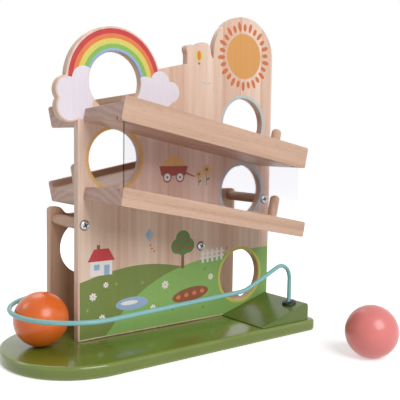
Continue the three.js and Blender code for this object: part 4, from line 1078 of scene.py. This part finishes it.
def bend(before, corner, after, radius, steps):
    """The arc that touches both straight runs of a corner."""
    along, onward = unit(corner - before), unit(after - corner)
    turn = math.acos(float(np.clip(along @ onward, -1, 1)))
    inward = unit(onward - along * (along @ onward))
    return space_arc(corner - along * radius * math.tan(turn / 2), along, inward, radius, turn, steps)


def wedge_level(x):
    """The slope's height over the base: the blunt toe's height plus a straight rise."""
    return WEDGE_TOE + (x - WEDGE_START) * math.tan(math.radians(wedge_tilt))


def rail_route():
    """The rod's centre line, from its socket in the wedge to its socket in the base."""
    foot = np.array([FOOT_X, FOOT_Y, wedge_level(FOOT_X) - 1.5])
    crest = np.array([FOOT_X, FOOT_Y, CREST_LEVEL])
    rise = np.array([RISE_X, LOOP_CENTRE[1] - LOOP_RADIUS, RISE_LEVEL])
    start = np.array([LOOP_CENTRE[0], LOOP_CENTRE[1] - LOOP_RADIUS, LOOP_LEVEL])
    short = math.asin(-END_X / math.hypot(LOOP_RADIUS, END_RADIUS)) + math.atan2(END_RADIUS, LOOP_RADIUS)
    loop = space_arc(start, np.array([-1.0, 0, 0]), np.array([0, 1.0, 0]), LOOP_RADIUS, math.pi - short, 96)
    onward = np.array([math.cos(short), math.sin(short), 0])
    drop = space_arc(loop[-1], onward, np.array([0, 0, -1.0]), END_RADIUS, math.pi / 2, 16)
    return np.vstack([
        foot,
        bend(foot, crest, rise, CREST_RADIUS, 24),
        bend(crest, rise, start, RISE_RADIUS, 16),
        loop,
        drop[1:],
        drop[-1] * (1, 1, 0) - (0, 0, 1.5),
    ])


def tube(route, radius, sides=24):
    """A circle carried along a route, square to its direction, which never nears (1, 1, 1)."""
    along = unit(np.gradient(route, axis=0))
    first = unit(np.cross(along, np.array([1.0, 1.0, 1.0])))
    second = np.cross(along, first)
    angle = full_turn(sides)
    cosine, sine = np.cos(angle)[None, :, None], np.sin(angle)[None, :, None]
    rings = route[:, None] + radius * (first[:, None] * cosine + second[:, None] * sine)
    return closed_skin(rings)


route = rail_route()
points, faces = tube(route, ROD_RADIUS)
teal_coat = painted("teal_powder_coat", "7fb7b6", "9dcecb", 0.4, 0.1, peel=2600.0, bump=0.12)
add_piece("rail_rod", points + on_board(0, 0, 0), faces, teal_coat, ["rail"])


# Grommets: soft black collars round the rod where it goes into the wedge and into the base. They
# hide the edges of the two bored holes.

GROMMET_RADIUS, GROMMET_HEIGHT = 7.75, 3.0
rubber, rubber_tree, rubber_shader = new_material("black_collar", IOR=1.5)
rubber_tone, rubber_rough = clouded(rubber_tree, 1800.0, 2.0, ("121212", "242424"), (0.3, 0.5))
feed(rubber_tree, rubber_shader, Base_Color=rubber_tone, Roughness=rubber_rough)
collar = [(ROD_RADIUS + 0.05, 0.1), (GROMMET_RADIUS - 0.2, 0), (GROMMET_RADIUS, 0.25)]
collar += quarter(ROD_RADIUS + 0.6, 0.75, GROMMET_RADIUS - ROD_RADIUS - 0.6, GROMMET_HEIGHT - 0.75, 12)[1:]
collar += [(ROD_RADIUS + 0.2, GROMMET_HEIGHT - 0.25), (ROD_RADIUS + 0.05, GROMMET_HEIGHT - 0.7)]
collar_points, collar_faces = turned(collar)
first = np.arange(len(collar_points) // len(collar))
last = first + len(collar_points) - len(first)
inner_wall = np.column_stack([last, np.roll(last, -1), np.roll(first, -1), first])
collar_faces = collar_faces[:-2] + inner_wall.tolist()
lean = math.radians(wedge_tilt)
wedge_collar_x = FOOT_X + GROMMET_HEIGHT / 2 * math.sin(lean)
wedge_collar = on_board(wedge_collar_x, FOOT_Y, wedge_level(wedge_collar_x) + 0.15)
base_collar = on_board(route[-1][0], route[-1][1], 0.0)
for name, node, place, tilt in (
    ("collar_wedge", "rail_grommet_wedge", wedge_collar, -wedge_tilt),
    ("collar_base", "rail_grommet_base", base_collar, 0),
):
    stood = placed(collar_points, place, tilt)
    add_piece(name, stood, collar_faces, rubber, [node])


# Base screws: countersunk, with a cross recess, driven up from below just under the surface. Three
# hold each board and two hold the wedge.

for name, x, y in (
    [(f"front_board_{n + 1}", *p) for n, p in enumerate(board_screws[:3])]
    + [(f"rear_board_{n + 1}", *p) for n, p in enumerate(board_screws[3:])]
    + [(f"wedge_{n + 1}", *p) for n, p in enumerate(wedge_screws)]
):
    cone = ((1.7, -2.6), (1.7, -18.0))
    points, faces, _ = screw_head(3.5, 0.1, 0.0, 20 + x, cone, depth=1.2, sides=48, rows=14)
    points = points * (1, -1, -1) + (x + BOARD_LEFT, y + BOARD_FRONT, 0.6)
    add_piece(f"countersunk_{name}", points, faces, zinc, [f"base_screw_{name}"])


# Balls: turned hardwood, sanded and dipped in satin-gloss paint. One waits inside the loop, the
# other lies on the table beside the toy.

BALL_RADIUS = 25.5
pink_place = on_board(228.2, -164.5, 0) * (1, 1, 0) + (0, 0, BALL_RADIUS)
balls = {
    "orange": (on_board(-32.3, 11.0, BALL_RADIUS), "e5661a", "ec8640", "orange_ball"),
    "pink": (pink_place, "e27d79", "eb9c96", "pink_ball"),
}
ball_profile = arc((0, 0), BALL_RADIUS, -90, 90, 64)
ball_profile[[0, -1], 0] = 0.02
for name, (centre, main, pale, body) in balls.items():
    points, faces = turned(ball_profile, sides=96)
    dip_paint = painted(f"{name}_ball_paint", main, pale, 0.3, 0.16, peel=700.0, bump=0.05)
    add_piece(
        f"ball_{name}_painted", points + centre, faces, dip_paint, [f"ball_{name}"],
        body=body,
    )


# Studio: a white table that runs on past the picture, a large soft light high in front, a small one
# behind on the left, a broad one high behind, and a camera at the photograph's place.

CAMERA_PLACE = (-0.376107, -0.556685, 0.203307)
CAMERA_AZIMUTH, CAMERA_ELEVATION, CAMERA_ROLL = -37.621, 4.924, 0.928
CAMERA_LENS, CAMERA_SENSOR = 59.263, 36


def posed(side, up, back, place):
    """A pose at a place with three given axes."""
    pose = np.eye(4)
    pose[:3, 0], pose[:3, 1], pose[:3, 2], pose[:3, 3] = side, up, back, place
    return Matrix(pose.tolist())


scene = bpy.context.scene
camera_data = bpy.data.cameras.new("camera")
camera_data.lens, camera_data.sensor_width = CAMERA_LENS, CAMERA_SENSOR
camera_data.clip_start, camera_data.clip_end = 0.01, 50
camera = bpy.data.objects.new("camera", camera_data)
a, e, r = (math.radians(v) for v in (CAMERA_AZIMUTH, CAMERA_ELEVATION, CAMERA_ROLL))
back = np.array([math.sin(a) * math.cos(e), -math.cos(a) * math.cos(e), math.sin(e)])
right = np.array([math.cos(a), math.sin(a), 0])
up = np.cross(back, right)
right, up = math.cos(r) * right + math.sin(r) * up, -math.sin(r) * right + math.cos(r) * up
camera.matrix_world = posed(right, up, back, CAMERA_PLACE)
scene.collection.objects.link(camera)
scene.camera = camera


def seen_directly(tree):
    """1 for camera, glossy and transmission rays, 0 for the rays that light the object."""
    ray = add_node(tree, "LightPath").outputs
    straight = reckon(tree, "MAXIMUM", ray["Is Camera Ray"], ray["Is Glossy Ray"])
    return reckon(tree, "MAXIMUM", straight, ray["Is Transmission Ray"])


TABLE_GLOW_NEAR, TABLE_GLOW_FAR, AIR_LIGHT = 0.52, 0.83, 0.24
table_mesh = bpy.data.meshes.new("table_top")
table_mesh.from_pydata([(-6, -6, 0), (6, -6, 0), (6, 6, 0), (-6, 6, 0)], [], [(0, 1, 2, 3)])
table = bpy.data.objects.new("table_top", table_mesh)
scene.collection.objects.link(table)
table_white = bpy.data.materials.new("table_white")
table_white.use_nodes = True
tree = table_white.node_tree
tree.nodes.clear()
matte = add_node(tree, "BsdfDiffuse", {"Color": colour("f2f2f2")})
spot = object_place(tree)
far = add_node(tree, "VectorMath", {0: spot}, operation="LENGTH").outputs["Value"]
around = spread(tree, far, TABLE_GLOW_NEAR, TABLE_GLOW_FAR, 0.3, 0.9)
behind = spread(tree, part_of(tree, spot, "Y"), TABLE_GLOW_NEAR, TABLE_GLOW_FAR, 0.03, 0.14)
glow = reckon(tree, "MULTIPLY", seen_directly(tree), reckon(tree, "MAXIMUM", around, behind))
glow_light = add_node(tree, "Emission", {"Color": (1, 1, 1, 1), "Strength": glow})
both = add_node(tree, "AddShader", {0: matte.outputs["BSDF"], 1: glow_light.outputs["Emission"]})
add_node(tree, "OutputMaterial", {"Surface": both.outputs["Shader"]})
table_mesh.materials.append(table_white)

world = bpy.data.worlds.new("studio_air")
scene.world = world
world.use_nodes = True
tree = world.node_tree
tree.nodes.clear()
strength = spread(tree, seen_directly(tree), AIR_LIGHT, 1.0)
air = add_node(tree, "Background", {"Color": (1, 1, 1, 1), "Strength": strength})
add_node(tree, "OutputWorld", {"Surface": air.outputs["Background"]})


def softbox(name, place, aim, width, height, watts):
    """A rectangular lamp at a place, facing a point."""
    data = bpy.data.lights.new(name, "AREA")
    data.shape = "RECTANGLE"
    data.size, data.size_y, data.energy = width, height, watts
    lamp = bpy.data.objects.new(name, data)
    depth = unit(np.array(place) - aim)
    side = unit(np.cross((0, 0, 1), depth))
    lamp.matrix_world = posed(side, np.cross(depth, side), depth, place)
    scene.collection.objects.link(lamp)


softbox("key_front", (-0.05, -1.02, 0.84), (0, 0, 0.15), 0.75, 0.7, 11)
softbox("fill_back_left", (-0.76, 0.56, 0.75), (0, 0, 0.15), 0.3, 0.3, 1.4)
softbox("fill_behind", (0.15, 0.85, 1.15), (0, 0, 0.15), 0.7, 0.6, 3.5)

scene.view_settings.view_transform = "Standard"
